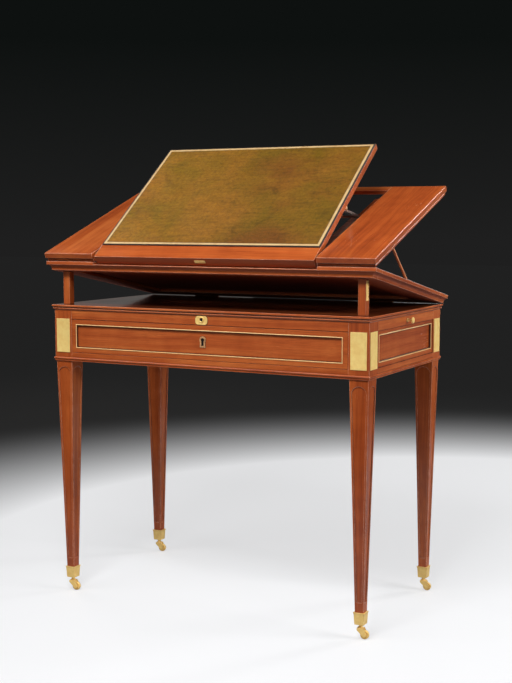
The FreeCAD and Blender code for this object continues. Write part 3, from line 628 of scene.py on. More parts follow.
    def group(self, tree: bpy.types.NodeTree, **values: object) -> bpy.types.Node:
        """Place a shared group and set its inputs.

        Args:
            tree: The group.
            values: Sockets or values, by the names of the inputs.

        Returns:
            The group's node.
        """
        made = self.node("ShaderNodeGroup", node_tree=tree)
        for name, value in values.items():
            self.feed(made.inputs[name.replace("_", " ").capitalize()], value)
        return made


def new_group(name: str, inputs: Sequence[tuple[str, str, object]],
              outputs: Sequence[tuple[str, str]]) -> tuple[Board, bpy.types.Node, bpy.types.Node]:
    """Start a shader node group with named sockets.

    Args:
        name: Name of the group.
        inputs: Name, kind (Float, Color or Vector) and default of each input.
        outputs: Name and kind of each output.

    Returns:
        The group's board, its input node and its output node.
    """
    tree = bpy.data.node_groups.new(name, "ShaderNodeTree")
    for label, kind, default in inputs:
        socket = tree.interface.new_socket(label, in_out="INPUT", socket_type="NodeSocket" + kind)
        if default is not None:
            socket.default_value = default
    for label, kind in outputs:
        tree.interface.new_socket(label, in_out="OUTPUT", socket_type="NodeSocket" + kind)
    board = Board(tree)
    return board, board.node("NodeGroupInput"), board.node("NodeGroupOutput")


def arris_group() -> bpy.types.NodeTree:
    """Arrises: a normal rounding the edges, a broken mask of rub and painted highlight, and painted shade in nooks.

    Returns:
        Group with the outputs Normal, Rub and Nook.
    """
    board, given, made = new_group(
        "rubbed_arris_highlight_and_shade", [("Vector", "Vector", None), ("Radius", "Float", 1.0 * MM), ("Breaks", "Float", 60.0)],
        [("Normal", "Vector"), ("RubAndHighlight", "Float"), ("NookShade", "Float")])
    rounded = board.node("ShaderNodeBevel", samples=RAYS)
    board.link(given.outputs["Radius"], rounded.inputs["Radius"])
    flat = board.node("ShaderNodeNewGeometry")
    facing = board.node("ShaderNodeVectorMath", operation="DOT_PRODUCT")
    board.link(rounded.outputs["Normal"], facing.inputs[0])
    board.link(flat.outputs["Normal"], facing.inputs[1])
    # Mask along the outer edges: partly wear, partly painted highlight.
    edge = board.span(facing.outputs["Value"], 0.995, 0.90)
    breaks = board.node("ShaderNodeTexNoise")
    board.link(given.outputs["Vector"], breaks.inputs["Vector"])
    board.link(given.outputs["Breaks"], breaks.inputs["Scale"])
    breaks.inputs["Detail"].default_value = 3.0
    worn = board.span(breaks.outputs["Fac"], 0.35, 0.62, 0.45, 1.0)
    # Painted shade in the inner corners, from ambient occlusion.
    hollow = board.node("ShaderNodeAmbientOcclusion", samples=RAYS)
    hollow.inputs["Distance"].default_value = NOOK_REACH
    proud = board.span(hollow.outputs["AO"], 0.62, 0.86)
    board.link(board.math("MULTIPLY", board.math("MULTIPLY", edge, proud), worn, True), made.inputs["RubAndHighlight"])
    board.link(board.math("SUBTRACT", 1.0, proud), made.inputs["NookShade"])
    board.link(rounded.outputs["Normal"], made.inputs["Normal"])
    return board.tree


def figure_group() -> bpy.types.NodeTree:
    """Figure of wood with its length along X: broad bands, ribbon, fibres and pores.

    Returns:
        Group with the outputs Bands, Fibres and Pores.
    """
    board, given, made = new_group(
        "wood_figure", [("Vector", "Vector", None)],
        [("Bands", "Float"), ("Fibres", "Float"), ("Pores", "Float")])
    vector = given.outputs["Vector"]
    drift = board.node("ShaderNodeTexNoise")
    board.link(board.stretch(vector, (1.6, 7.0, 7.0)), drift.inputs["Vector"])
    drift.inputs["Scale"].default_value = 1.0
    drift.inputs["Detail"].default_value = 2.0
    bent = board.node("ShaderNodeVectorMath", operation="MULTIPLY_ADD")
    board.link(drift.outputs["Color"], bent.inputs[0])
    bent.inputs[1].default_value = (0.0, 0.05, 0.05)
    board.link(vector, bent.inputs[2])
    path = bent.outputs["Vector"]
    broad = board.streaks(path, (1.5, 16.0, 16.0), detail=4.0, rough=0.55)
    ribbon = board.streaks(path, (2.5, 95.0, 95.0), detail=3.0)
    mottle = board.streaks(path, (26.0, 14.0, 14.0), detail=2.0, rough=0.4)
    bands = board.plus(board.plus(board.math("MULTIPLY", broad, 0.55), ribbon, 0.30), mottle, 0.15)
    board.link(board.span(bands, 0.34, 0.66), made.inputs["Bands"])
    board.link(board.streaks(path, (9.0, 700.0, 700.0), detail=3.0, rough=0.6), made.inputs["Fibres"])
    pores = board.streaks(path, (60.0, 1500.0, 1500.0), detail=1.0)
    board.link(board.span(pores, 0.62, 0.72), made.inputs["Pores"])
    return board.tree


def handling_group() -> bpy.types.NodeTree:
    """Smudges and fine scratches, and masks of the faces that look down and up, which carry painted shade.

    Returns:
        Group with the outputs Smudge, Scratch, Under and Over.
    """
    board, given, made = new_group(
        "handling_and_facing", [("Vector", "Vector", None)],
        [("Smudge", "Float"), ("Scratch", "Float"), ("Under", "Float"), ("Over", "Float")])
    vector = given.outputs["Vector"]
    clouds = board.noise(vector, scale=9.0, detail=5.0, rough=0.6, distortion=0.4)
    board.link(board.span(clouds, 0.35, 0.68), made.inputs["Smudge"])
    hair = board.streaks(vector, (30.0, 900.0, 400.0), detail=2.0, rough=0.6)
    board.link(board.span(hair, 0.60, 0.70), made.inputs["Scratch"])
    upward = board.node("ShaderNodeSeparateXYZ")
    normal = board.node("ShaderNodeNewGeometry")
    board.link(normal.outputs["Normal"], upward.inputs[0])
    board.link(board.span(upward.outputs["Z"], -0.12, -0.62), made.inputs["Under"])
    board.link(board.span(upward.outputs["Z"], 0.95, 0.99), made.inputs["Over"])
    return board.tree


@dataclass(frozen=True)
class SharedEffects:
    """Node groups that more than one finish uses."""

    arris: bpy.types.NodeTree
    figure: bpy.types.NodeTree
    handling_and_facing: bpy.types.NodeTree


class Grain(Enum):
    """Run of the grain, as the turn that lays it along the pattern's length."""

    ACROSS = (0.0, 0.0, 0.0)
    FRONT_TO_BACK = (0.0, 0.0, -math.pi / 2)
    UPRIGHT = (0.0, math.pi / 2, 0.0)


def new_finish(name: str) -> tuple[bpy.types.Material, Board, bpy.types.Node]:
    """Start a material.

    Args:
        name: Name of the material.

    Returns:
        The material, its board and its Principled shader.
    """
    finish = bpy.data.materials.new(name)
    finish.use_nodes = True
    board = Board(finish.node_tree)
    shader = next(node for node in finish.node_tree.nodes if node.type == "BSDF_PRINCIPLED")
    return finish, board, shader


def coordinates(board: Board, turn: tuple[float, float, float] = (0.0, 0.0, 0.0),
                offset: tuple[float, float, float] = (0.0, 0.0, 0.0)) -> bpy.types.NodeSocket:
    """Object coordinates, turned and shifted by a Mapping node.

    Args:
        board: The material's board.
        turn: Turn about each axis.
        offset: Shift along each axis.

    Returns:
        Socket with the coordinates.
    """
    place = board.node("ShaderNodeMapping")
    board.link(board.node("ShaderNodeTexCoord").outputs["Object"], place.inputs["Vector"])
    place.inputs["Rotation"].default_value = turn
    place.inputs["Location"].default_value = offset
    return place.outputs["Vector"]


def set_bump(board: Board, shader: bpy.types.Node, height: bpy.types.NodeSocket, depth: float,
             normal: bpy.types.NodeSocket | None = None) -> None:
    """Feed a shader's normal from a height.

    Args:
        board: The material's board.
        shader: The Principled shader.
        height: Height between 0 and 1.
        depth: What a height of 1 stands for, in metres.
        normal: Normal that the relief goes on, if not the surface's own.
    """
    relief = board.node("ShaderNodeBump")
    relief.inputs["Distance"].default_value = depth
    relief.inputs["Strength"].default_value = 1.0
    board.link(height, relief.inputs["Height"])
    if normal is not None:
        board.link(normal, relief.inputs["Normal"])
    board.link(relief.outputs["Normal"], shader.inputs["Normal"])


def set_rough(board: Board, shader: bpy.types.Node, smudge: bpy.types.NodeSocket,
              rough: tuple[float, float]) -> None:
    """Feed a shader's roughness from the smudges on it."""
    board.link(board.span(smudge, 0.0, 1.0, *rough), shader.inputs["Roughness"])


@dataclass(frozen=True)
class WoodFinish:
    """Polished or plain wood with its figure along the length of each board."""

    name: str
    dark: Colour
    middle: Colour
    light: Colour
    # pale rub on outer edges, partly wear and partly painted highlight
    rubbed: Colour
    shadow: Colour
    rough_low: float
    rough_high: float
    pore_depth: float
    top_shade: float = 0.0       # share of the painted shade on faces that look up
    under_shade: float = 0.6     # and of the dark on faces that look down: painted shade and their plainer finish
    nook_shade: float = 0.7      # and of the painted shade in inner corners
    pore_shade: float = 0.45     # share of the dark in the pores
    rub_share: float = 0.8       # share of the pale rub on outer edges, partly wear, partly painted highlight
    fibre_shade: tuple[float, float] = (0.78, 1.12)    # brightness of the darkest and the palest fibres
    scratch_rough: float = 0.06  # roughness that scratches add
    under_rough: float = 0.55    # and that faces which look down have more
    refraction: float = 1.50     # of the polish

    def board_finish(self, effects: SharedEffects, board_name: str, grain: Grain, tilt: float,
                     arris_radius: float) -> bpy.types.Material:
        """Finish of one board.

        Args:
            effects: The shared node groups.
            board_name: Name of the board, which also sets where in the log it was sawn.
            grain: Run of the grain in the closed table.
            tilt: Turn of the board about X in the open table.
            arris_radius: Rounding of its rubbed edges.

        Returns:
            The material.
        """
        finish, board, shader = new_finish(f"{self.name}_{board_name}")
        sawn = sum(index * ord(letter) for index, letter in enumerate(board_name, 1))
        offset = tuple(sawn % places * step for places, step in LOG_STEPS)
        vector = coordinates(board, (-tilt + grain.value[0], grain.value[1], grain.value[2]), offset)
        figure = board.group(effects.figure, vector=vector)
        use = board.group(effects.handling_and_facing, vector=vector)
        arris = board.group(effects.arris, vector=vector, radius=arris_radius)
        colour = board.ramp(figure.outputs["Bands"], [(0.0, self.dark), (0.48, self.middle), (1.0, self.light)])
        fibre = board.span(figure.outputs["Fibres"], 0.3, 0.7, *self.fibre_shade)
        shade = board.node("ShaderNodeCombineColor")
        for name in ("Red", "Green", "Blue"):
            board.link(fibre, shade.inputs[name])
        colour = board.mix(1.0, colour, shade.outputs["Color"], "MULTIPLY")
        colour = board.lay(colour, self.dark, figure.outputs["Pores"], self.pore_shade)
        # Pale rub, partly painted highlight; painted shade in nooks, on faces that look down and, where set, up.
        colour = board.lay(colour, self.rubbed, arris.outputs["RubAndHighlight"], self.rub_share)
        colour = board.lay(colour, self.shadow, arris.outputs["NookShade"], self.nook_shade)
        colour = board.lay(colour, self.dark, use.outputs["Under"], self.under_shade)
        if self.top_shade:
            colour = board.lay(colour, self.shadow, use.outputs["Over"], self.top_shade)
        board.link(colour, shader.inputs["Base Color"])
        rough = board.span(use.outputs["Smudge"], 0.0, 1.0, self.rough_low, self.rough_high)
        rough = board.plus(rough, use.outputs["Scratch"], self.scratch_rough)
        rough = board.plus(rough, use.outputs["Under"], self.under_rough)
        board.link(rough, shader.inputs["Roughness"])
        shader.inputs["IOR"].default_value = self.refraction
        height = board.math("SUBTRACT", figure.outputs["Fibres"], figure.outputs["Pores"])
        set_bump(board, shader, height, self.pore_depth, arris.outputs["Normal"])
        return finish


@dataclass(frozen=True)
class MetalFinish:
    """Worked metal with tarnish in clouds and specks, and bright arrises."""

    name: str
    bright: Colour
    aged: Colour
    rubbed: Colour
    rough_low: float
    rough_high: float
    file_marks: float            # depth of the marks of file and polishing cloth
    arris_radius: float
    sheen: float = 1.0           # share of bare metal, the rest is lacquer and age
    reeds: float = 0.0           # distance between faint level reeds, or 0 for none
    cloud_share: float = 0.55    # share of the aged colour in the clouds
    speck_share: float = 0.35    # and in the specks
    rub_share: float = 0.6       # share of the rubbed colour on outer edges
    rub_breaks: float = 220.0    # breaks in the rub to the metre
    scratch_rough: float = 0.10  # roughness that scratches add

    def make(self, effects: SharedEffects, label: str = "") -> bpy.types.Material:
        """Build the finish.

        Args:
            effects: The shared node groups.
            label: Name of the piece, where a piece has a finish of its own.

        Returns:
            The material.
        """
        finish, board, shader = new_finish(self.name + label)
        vector = coordinates(board)
        use = board.group(effects.handling_and_facing, vector=vector)
        arris = board.group(effects.arris, vector=vector, radius=self.arris_radius, breaks=self.rub_breaks)
        clouds = board.span(board.noise(vector, scale=75.0, detail=6.0, rough=0.62, distortion=0.3), 0.38, 0.66)
        specks = board.span(board.noise(vector, scale=900.0, detail=3.0, rough=0.6), 0.60, 0.74)
        colour = board.lay(self.bright, self.aged, clouds, self.cloud_share)
        colour = board.lay(colour, self.aged, specks, self.speck_share)
        colour = board.lay(colour, self.rubbed, arris.outputs["RubAndHighlight"], self.rub_share)
        board.link(colour, shader.inputs["Base Color"])
        shader.inputs["Metallic"].default_value = self.sheen
        rough = board.span(clouds, 0.0, 1.0, self.rough_low, self.rough_high)
        board.link(board.plus(rough, use.outputs["Scratch"], self.scratch_rough), shader.inputs["Roughness"])
        height = board.streaks(vector, (250.0, 250.0, 2400.0), detail=2.0)
        if self.reeds:
            wave = board.node("ShaderNodeTexWave", bands_direction="Z", wave_profile="SIN")
            board.link(vector, wave.inputs["Vector"])
            wave.inputs["Scale"].default_value = WAVE_SCALE / self.reeds
            height = board.math("ADD", height, wave.outputs["Fac"])
        set_bump(board, shader, height, self.file_marks, arris.outputs["Normal"])
        return finish


@dataclass(frozen=True)
class LeatherFinish:
    """Old writing leather: olive and brown clouds, darker blotches, a fine grain and worn creases."""

    olive: Colour = tint(136, 103, 22)
    gold: Colour = tint(170, 114, 36)
    russet: Colour = tint(128, 62, 28)
    stain_and_shade: Colour = tint(58, 40, 18)
    grain_scale: float = 1100.0
    grain_depth: float = 0.12 * MM
    grain_share: float = 0.30        # share of the stain round the grains
    russet_share: float = 0.75       # share of the russet in its clouds
    stain_share: float = 0.55        # share of the stain in the blotches
    rub_share: float = 0.40          # and in the rubs across
    mottle_share: float = 0.45       # and in the mottle
    right_shade: float = 0.28        # and of painted shade towards the right
    right_span: tuple[float, float] = (-0.26, 0.04)    # where it begins and is full
    crease_share: float = 0.8        # of the grain's depth
    rough: tuple[float, float] = (0.42, 0.62)
    sheen: float = 0.1

    def make(self, effects: SharedEffects, tilt: float) -> bpy.types.Material:
        """Build the finish of the field.

        Args:
            effects: The shared node groups.
            tilt: Turn of the slope about X in the open table.

        Returns:
            The material.
        """
        finish, board, shader = new_finish("writing_leather")
        vector = coordinates(board, (-tilt, 0.0, 0.0))
        use = board.group(effects.handling_and_facing, vector=vector)
        clouds = board.span(board.noise(vector, scale=7.5, detail=6.0, rough=0.62, distortion=0.5), 0.34, 0.66)
        colour = board.mix(clouds, self.olive, self.gold)
        russet = board.streaks(vector, (3.6, 5.0, 5.0), detail=5.0, rough=0.6, distortion=0.3)
        colour = board.lay(colour, self.russet, board.span(russet, 0.48, 0.70), self.russet_share)
        stains = board.span(board.noise(vector, scale=19.0, detail=6.0, rough=0.7, distortion=0.8), 0.57, 0.74)
        colour = board.lay(colour, self.stain_and_shade, stains, self.stain_share)
        rubs = board.streaks(vector, (14.0, 130.0, 130.0), detail=4.0, rough=0.65)
        colour = board.lay(colour, self.stain_and_shade, board.span(rubs, 0.45, 0.75), self.rub_share)
        mottle = board.noise(vector, scale=120.0, detail=4.0, rough=0.7)
        colour = board.lay(colour, self.stain_and_shade, board.span(mottle, 0.42, 0.68), self.mottle_share)
        cells = board.node("ShaderNodeTexVoronoi", feature="DISTANCE_TO_EDGE")
        board.link(vector, cells.inputs["Vector"])
        cells.inputs["Scale"].default_value = self.grain_scale
        grain = board.span(cells.outputs["Distance"], 0.0, 0.22)
        colour = board.lay(colour, self.stain_and_shade, board.math("SUBTRACT", 1.0, grain), self.grain_share)
        # Painted shade: darker towards the right.
        across = board.node("ShaderNodeSeparateXYZ")
        board.link(vector, across.inputs[0])
        colour = board.lay(colour, self.stain_and_shade, board.span(across.outputs["X"], *self.right_span), self.right_shade)
        board.link(colour, shader.inputs["Base Color"])
        set_rough(board, shader, use.outputs["Smudge"], self.rough)
        shader.inputs["Specular IOR Level"].default_value = self.sheen
        creases = board.span(board.streaks(vector, (30.0, 90.0, 90.0), detail=4.0, rough=0.6), 0.3, 0.7)
        set_bump(board, shader, board.plus(grain, creases, self.crease_share), self.grain_depth)
        return finish


@dataclass(frozen=True)
class ToolingFinish:
    """Gilt rolled into the leather's border, rubbed through in places."""

    gilt: Colour = tint(222, 190, 138)
    rubbed: Colour = tint(190, 146, 92)
    hollow: Colour = tint(122, 88, 48)
    roll_pitch: float = 5.0 * MM
    roll_scatter: float = 0.15       # unevenness of the roll's dots
    roll_depth: float = 0.08 * MM
    rub_share: float = 0.7           # share of the rubbed colour in the rubs
    dot_share: float = 0.22          # share of the hollow's colour between the dots
    rough: tuple[float, float] = (0.34, 0.55)
    sheen: float = 0.3

    def make(self, effects: SharedEffects, tilt: float) -> bpy.types.Material:
        """Build the finish of the border.

        Args:
            effects: The shared node groups.
            tilt: Turn of the slope about X in the open table.

        Returns:
            The material.
        """
        finish, board, shader = new_finish("gilt_border")
        vector = coordinates(board, (-tilt, 0.0, 0.0))
        use = board.group(effects.handling_and_facing, vector=vector)
        rubs = board.span(board.noise(vector, scale=60.0, detail=6.0, rough=0.65, distortion=0.3), 0.42, 0.70)
        beads = board.node("ShaderNodeTexVoronoi", feature="F1")
        board.link(vector, beads.inputs["Vector"])
        beads.inputs["Scale"].default_value = 1.0 / self.roll_pitch
        beads.inputs["Randomness"].default_value = self.roll_scatter
        dots = board.span(beads.outputs["Distance"], 0.20, 0.36)
        colour = board.lay(self.gilt, self.rubbed, rubs, self.rub_share)
        colour = board.lay(colour, self.hollow, dots, self.dot_share)
        board.link(colour, shader.inputs["Base Color"])
        shader.inputs["Specular IOR Level"].default_value = self.sheen
        set_rough(board, shader, use.outputs["Smudge"], self.rough)
        set_bump(board, shader, board.math("SUBTRACT", 1.0, dots), self.roll_depth)
        return finish


@dataclass(frozen=True)
class KeyPlateFinish:
    """Worn brass round the keyhole, with painted shade over a countersink round its hole."""

    bright: Colour = tint(226, 176, 122)
    aged: Colour = tint(164, 112, 72)
    countersink_shade: Colour = tint(26, 18, 14)
    head_radius: float = 3.6 * MM    # hole in the plate
    slot_half: float = 2.35 * MM
    countersink: float = 0.9 * MM
    plate_rim: float = 4.4 * MM
    mark_depth: float = 0.02 * MM
    metal: float = 0.15              # share of bare metal
    rough: tuple[float, float] = (0.34, 0.5)

    def make(self, effects: SharedEffects, low: Vector, high: Vector) -> bpy.types.Material:
        """Build the finish of the plate.

        Args:
            effects: The shared node groups.
            low: Lowest corner of the plate.
            high: Highest corner of the plate.

        Returns:
            The material.
        """
        finish, board, shader = new_finish("key_brass")
        head = high.z - self.plate_rim - self.head_radius
        vector = coordinates(board)
        use = board.group(effects.handling_and_facing, vector=vector)
        centred = coordinates(board, offset=(-(low.x + high.x) / 2, 0.0, -head))
        level = board.stretch(centred, (1.0, 0.0, 1.0))
        split = board.node("ShaderNodeSeparateXYZ")
        board.link(level, split.inputs[0])
        reach = board.node("ShaderNodeVectorMath", operation="LENGTH")
        board.link(level, reach.inputs[0])
        soft = self.countersink / 2
        eye = board.span(reach.outputs["Value"], self.head_radius + self.countersink, self.head_radius + soft)
        slot = board.span(board.math("ABSOLUTE", split.outputs["X"]), self.slot_half + self.countersink,
                          self.slot_half + soft)
        foot = low.z + self.plate_rim - self.countersink - head
        slot = board.math("MULTIPLY", slot, board.span(split.outputs["Z"], foot, foot + soft))
        slot = board.math("MULTIPLY", slot, board.span(split.outputs["Z"], soft, 0.0))
        wear = board.span(board.noise(vector, scale=260.0, detail=5.0, rough=0.65), 0.38, 0.66)
        colour = board.mix(wear, self.bright, self.aged)
        # Painted shade over the countersink round the eye and the slot.
        colour = board.mix(board.math("MAXIMUM", eye, slot), colour, self.countersink_shade)
        board.link(colour, shader.inputs["Base Color"])
        shader.inputs["Metallic"].default_value = self.metal
        set_rough(board, shader, use.outputs["Smudge"], self.rough)
        set_bump(board, shader, board.math("ADD", wear, use.outputs["Scratch"]), self.mark_depth)
        return finish


@dataclass(frozen=True)
class DarkFinish:
    """Dark finish of an edge or hollow: partly stain and dark metal, partly painted shade."""

    name: str
    colour: Colour
    worn: Colour
    rough: float
    rough_swing: float = 0.1         # to both sides
    worn_share: float = 0.5          # share of the worn colour in the smudges
    scratch_depth: float = 0.05 * MM

    def make(self, effects: SharedEffects) -> bpy.types.Material:
        """Build the finish.

        Args:
            effects: The shared node groups.

        Returns:
            The material.
        """
        finish, board, shader = new_finish(self.name)
        use = board.group(effects.handling_and_facing, vector=coordinates(board))
        smudge = use.outputs["Smudge"]
        board.link(board.lay(self.colour, self.worn, smudge, self.worn_share), shader.inputs["Base Color"])
        set_rough(board, shader, smudge, (self.rough - self.rough_swing, self.rough + self.rough_swing))
        set_bump(board, shader, use.outputs["Scratch"], self.scratch_depth)
        return finish


@dataclass(frozen=True)
class Finishes:
    """All finishes of the table."""

    effects: SharedEffects
    mahogany: WoodFinish
    shaded: WoodFinish
    pale: WoodFinish
    legs: WoodFinish
    flush: WoodFinish
    oak: WoodFinish
    brass: bpy.types.Material
    plaque_brass: bpy.types.Material
    bead_brass: bpy.types.Material
    key_brass: bpy.types.Material
    steel: bpy.types.Material
    leather: bpy.types.Material
    gilt: bpy.types.Material
    black: bpy.types.Material
    dark_stain_and_shade: bpy.types.Material
    bead_wall_shade: bpy.types.Material
    bronze: bpy.types.Material
    iron: bpy.types.Material


def mix_finishes() -> Finishes:
    """Build the shared groups and the finishes that need no board.

    Returns:
        The table's finishes.
    """
    effects = SharedEffects(arris_group(), figure_group(), handling_group())
    slope_tilt = open_pose(Body.SLOPE.value).to_euler().x
    brass = MetalFinish("old_brass", tint(255, 216, 132), tint(232, 184, 98), tint(255, 238, 180), rough_low=0.32,
                        rough_high=0.46, file_marks=0.015 * MM, arris_radius=0.5 * MM, sheen=0.12)
    plaque_brass = replace(brass, bright=tint(255, 222, 138), aged=tint(240, 192, 106), reeds=3.2 * MM)
    bead_brass = replace(brass, bright=tint(255, 214, 150), aged=tint(240, 186, 118))
    bronze = MetalFinish("dark_hinges", tint(104, 62, 36), tint(66, 38, 24), tint(150, 104, 62), rough_low=0.34,
                         rough_high=0.50, file_marks=0.015 * MM, arris_radius=0.4 * MM)
    steel = MetalFinish("filed_steel", tint(150, 146, 142), tint(96, 88, 80), tint(206, 204, 200), rough_low=0.30,
                        rough_high=0.46, file_marks=0.03 * MM, arris_radius=0.3 * MM)
    # Far paler than iron: painted light on the racks, which lie in the slope's shadow.
    iron = MetalFinish("lightened_iron", tint(218, 204, 188), tint(164, 148, 132), tint(236, 226, 212), rough_low=0.36,
                       rough_high=0.52, file_marks=0.03 * MM, arris_radius=0.3 * MM, sheen=0.1)
    mahogany = WoodFinish("mahogany", tint(141, 60, 27), tint(177, 84, 37), tint(203, 110, 53),
                          tint(250, 188, 156), tint(52, 24, 20), rough_low=0.13, rough_high=0.24,
                          pore_depth=0.008 * MM)
    # Case top with painted shade on its faces that look up.
    shaded = replace(mahogany, name="shaded_mahogany", rough_low=0.07, rough_high=0.14, top_shade=0.7)
    # Lighter copy of the mahogany for the stays: painted light on the thin rods.
    pale = replace(mahogany, name="pale_mahogany", dark=tint(190, 112, 70), middle=tint(222, 144, 100),
                   light=tint(240, 172, 130))
    # Legs with little painted shade in their nooks; flush fronts with more in their joints and no pale rub.
    legs = replace(mahogany, name="leg_mahogany", nook_shade=0.15)
    flush = replace(mahogany, name="flush_mahogany", nook_shade=0.9, rub_share=0.0)
    oak = WoodFinish("oak_lining", tint(120, 84, 46), tint(172, 130, 78), tint(202, 166, 112),
                     tint(214, 184, 136), tint(90, 66, 40), rough_low=0.42, rough_high=0.60, pore_depth=0.08 * MM)
    black = DarkFinish("lock_dark_shade", tint(16, 12, 10), tint(34, 28, 24), rough=0.6)
    dark_stain_and_shade = DarkFinish("dark_stain_and_shade", tint(26, 16, 12), tint(58, 36, 26), rough=0.5)
    bead_wall_shade = DarkFinish("bead_wall_shade", tint(84, 38, 18), tint(128, 62, 28), rough=0.4)
    return Finishes(
        effects=effects, mahogany=mahogany, shaded=shaded, pale=pale, legs=legs, flush=flush, oak=oak,
        brass=brass.make(effects), plaque_brass=plaque_brass.make(effects, "_plaques"),
        bead_brass=bead_brass.make(effects, "_beads"),
        key_brass=KeyPlateFinish().make(effects, *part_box("key_plate")), steel=steel.make(effects),
        leather=LeatherFinish().make(effects, slope_tilt), gilt=ToolingFinish().make(effects, slope_tilt),
        black=black.make(effects), dark_stain_and_shade=dark_stain_and_shade.make(effects), bead_wall_shade=bead_wall_shade.make(effects),
        bronze=bronze.make(effects), iron=iron.make(effects))


# ---------------------------------------------------------------- dressing of the CAD nodes


@dataclass
class Joinery:
    """Wooden and metal CAD nodes that keep their shape and get their finish."""

    finishes: Finishes
    upright: tuple[str, ...] = ("leg_", "post_left", "post_right")
    deep: tuple[str, ...] = ("upper_stile", "lower_side", "side_panel", "candle_slide", "drawer_sides", "runners",
                             "stay_left", "stay_right")
    soft: tuple[str, ...] = ("upper_", "slope_board", "lower_", "leg_", "stay_")
    flush: tuple[str, ...] = ("drawer_front", "writing_slide", "candle_slide", "bottom_rail", "side_panel")
    soft_arris: float = 1.9 * MM
    crisp_arris: float = 0.9 * MM

    def grain_of(self, node: str) -> Grain:
        """Run of the grain on a board.

        Args:
            node: Name of the CAD node.

        Returns:
            The run of its grain.
        """
        if node.startswith(self.upright):
            return Grain.UPRIGHT
        return Grain.FRONT_TO_BACK if node.startswith(self.deep) else Grain.ACROSS

    def finish_of(self, node: str, slot: str) -> bpy.types.Material:
        """Finish of a CAD node.

        Args:
            node: Name of the CAD node.
            slot: Its material slot in the record.

        Returns:
            The material.
        """
        if "_hinge_" in node:
            return self.finishes.bronze
        own = {"slope_racks": self.finishes.iron, "key_plate": self.finishes.key_brass}
        if node in own:
            return own[node]
        plain = {"brass": self.finishes.brass, "steel": self.finishes.steel, "leather": self.finishes.leather}
        if slot in plain:
            return plain[slot]
        tilt = open_pose(frame["nodes"][node]["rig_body"]).to_euler().x
        arris = self.soft_arris if node.startswith(self.soft) else self.crisp_arris
        wood = self.wood_of(node, slot)
        return wood.board_finish(self.finishes.effects, node, self.grain_of(node), tilt, arris)

    def wood_of(self, node: str, slot: str) -> WoodFinish:
        """Wood of a board.

        Args:
            node: Name of the CAD node.
            slot: Its material slot in the record.

        Returns:
            The wood with its polish.
        """
        if node.startswith(self.flush):
            return self.finishes.flush
        if node.startswith("leg_"):
            return self.finishes.legs
        if node.startswith("stay_") and slot == "mahogany":
            return self.finishes.pale
        if node == "case_top":
            return self.finishes.shaded
        return self.finishes.oak if slot == "oak" else self.finishes.mahogany

    def dress(self) -> None:
        """Give every CAD node its finish."""
        for row in frame["record"]["subparts"]:
            node = frame["nodes"][row["node"]]
            dress(node, [self.finish_of(row["node"], row["material_slot"])])
            LOG.info("%s dressed in %s", row["node"], row["material_slot"])


# ---------------------------------------------------------------- new pieces


@dataclass
class LeatherInset:
    """Leather of the reading slope with a gilt roll round it and a dark edge, partly stained, partly painted shade.
    """

    finishes: Finishes
    plain_edge: float = 3.0 * MM     # plain edge outside the gilt, dark: partly stain, partly painted shade
    roll: float = 6.0 * MM           # gilt roll
    line: float = 0.8 * MM           # blind line inside the roll
    rounding: float = 0.5 * MM

    def build(self) -> None:
        """Model the leather flat and turn it onto the slope."""
        low, high = closed_box("slope_leather")
        size = high - low
        sheet = new_sheet("writing_leather", size.x, size.y)
        dress(sheet, [self.finishes.leather, self.finishes.gilt, self.finishes.dark_stain_and_shade])
        with editing(sheet):
            for slot, width in ((2, self.plain_edge), (1, self.roll), (2, self.line)):
                paint(sheet, slot)
                bpy.ops.mesh.inset(thickness=width)
            paint(sheet, 0)
        thicken(sheet, size.z)
        with editing(sheet):
            # The leather's sides take the dark finish: partly stained edge, partly painted shade.
            pick_faces(sheet, lambda middle, normal: abs(normal.z) < EDGE_ON)
            paint(sheet, 2)
        round_over(sheet, self.rounding, segments=2)
        smooth(sheet)
        place = Vector(((low.x + high.x) / 2, (low.y + high.y) / 2, high.z))
        leather = move_to(sheet, "leather_inset", open_pose(Body.SLOPE.value) @ Matrix.Translation(place))
        hang(leather, Body.SLOPE.value, "leather", "slope_leather")


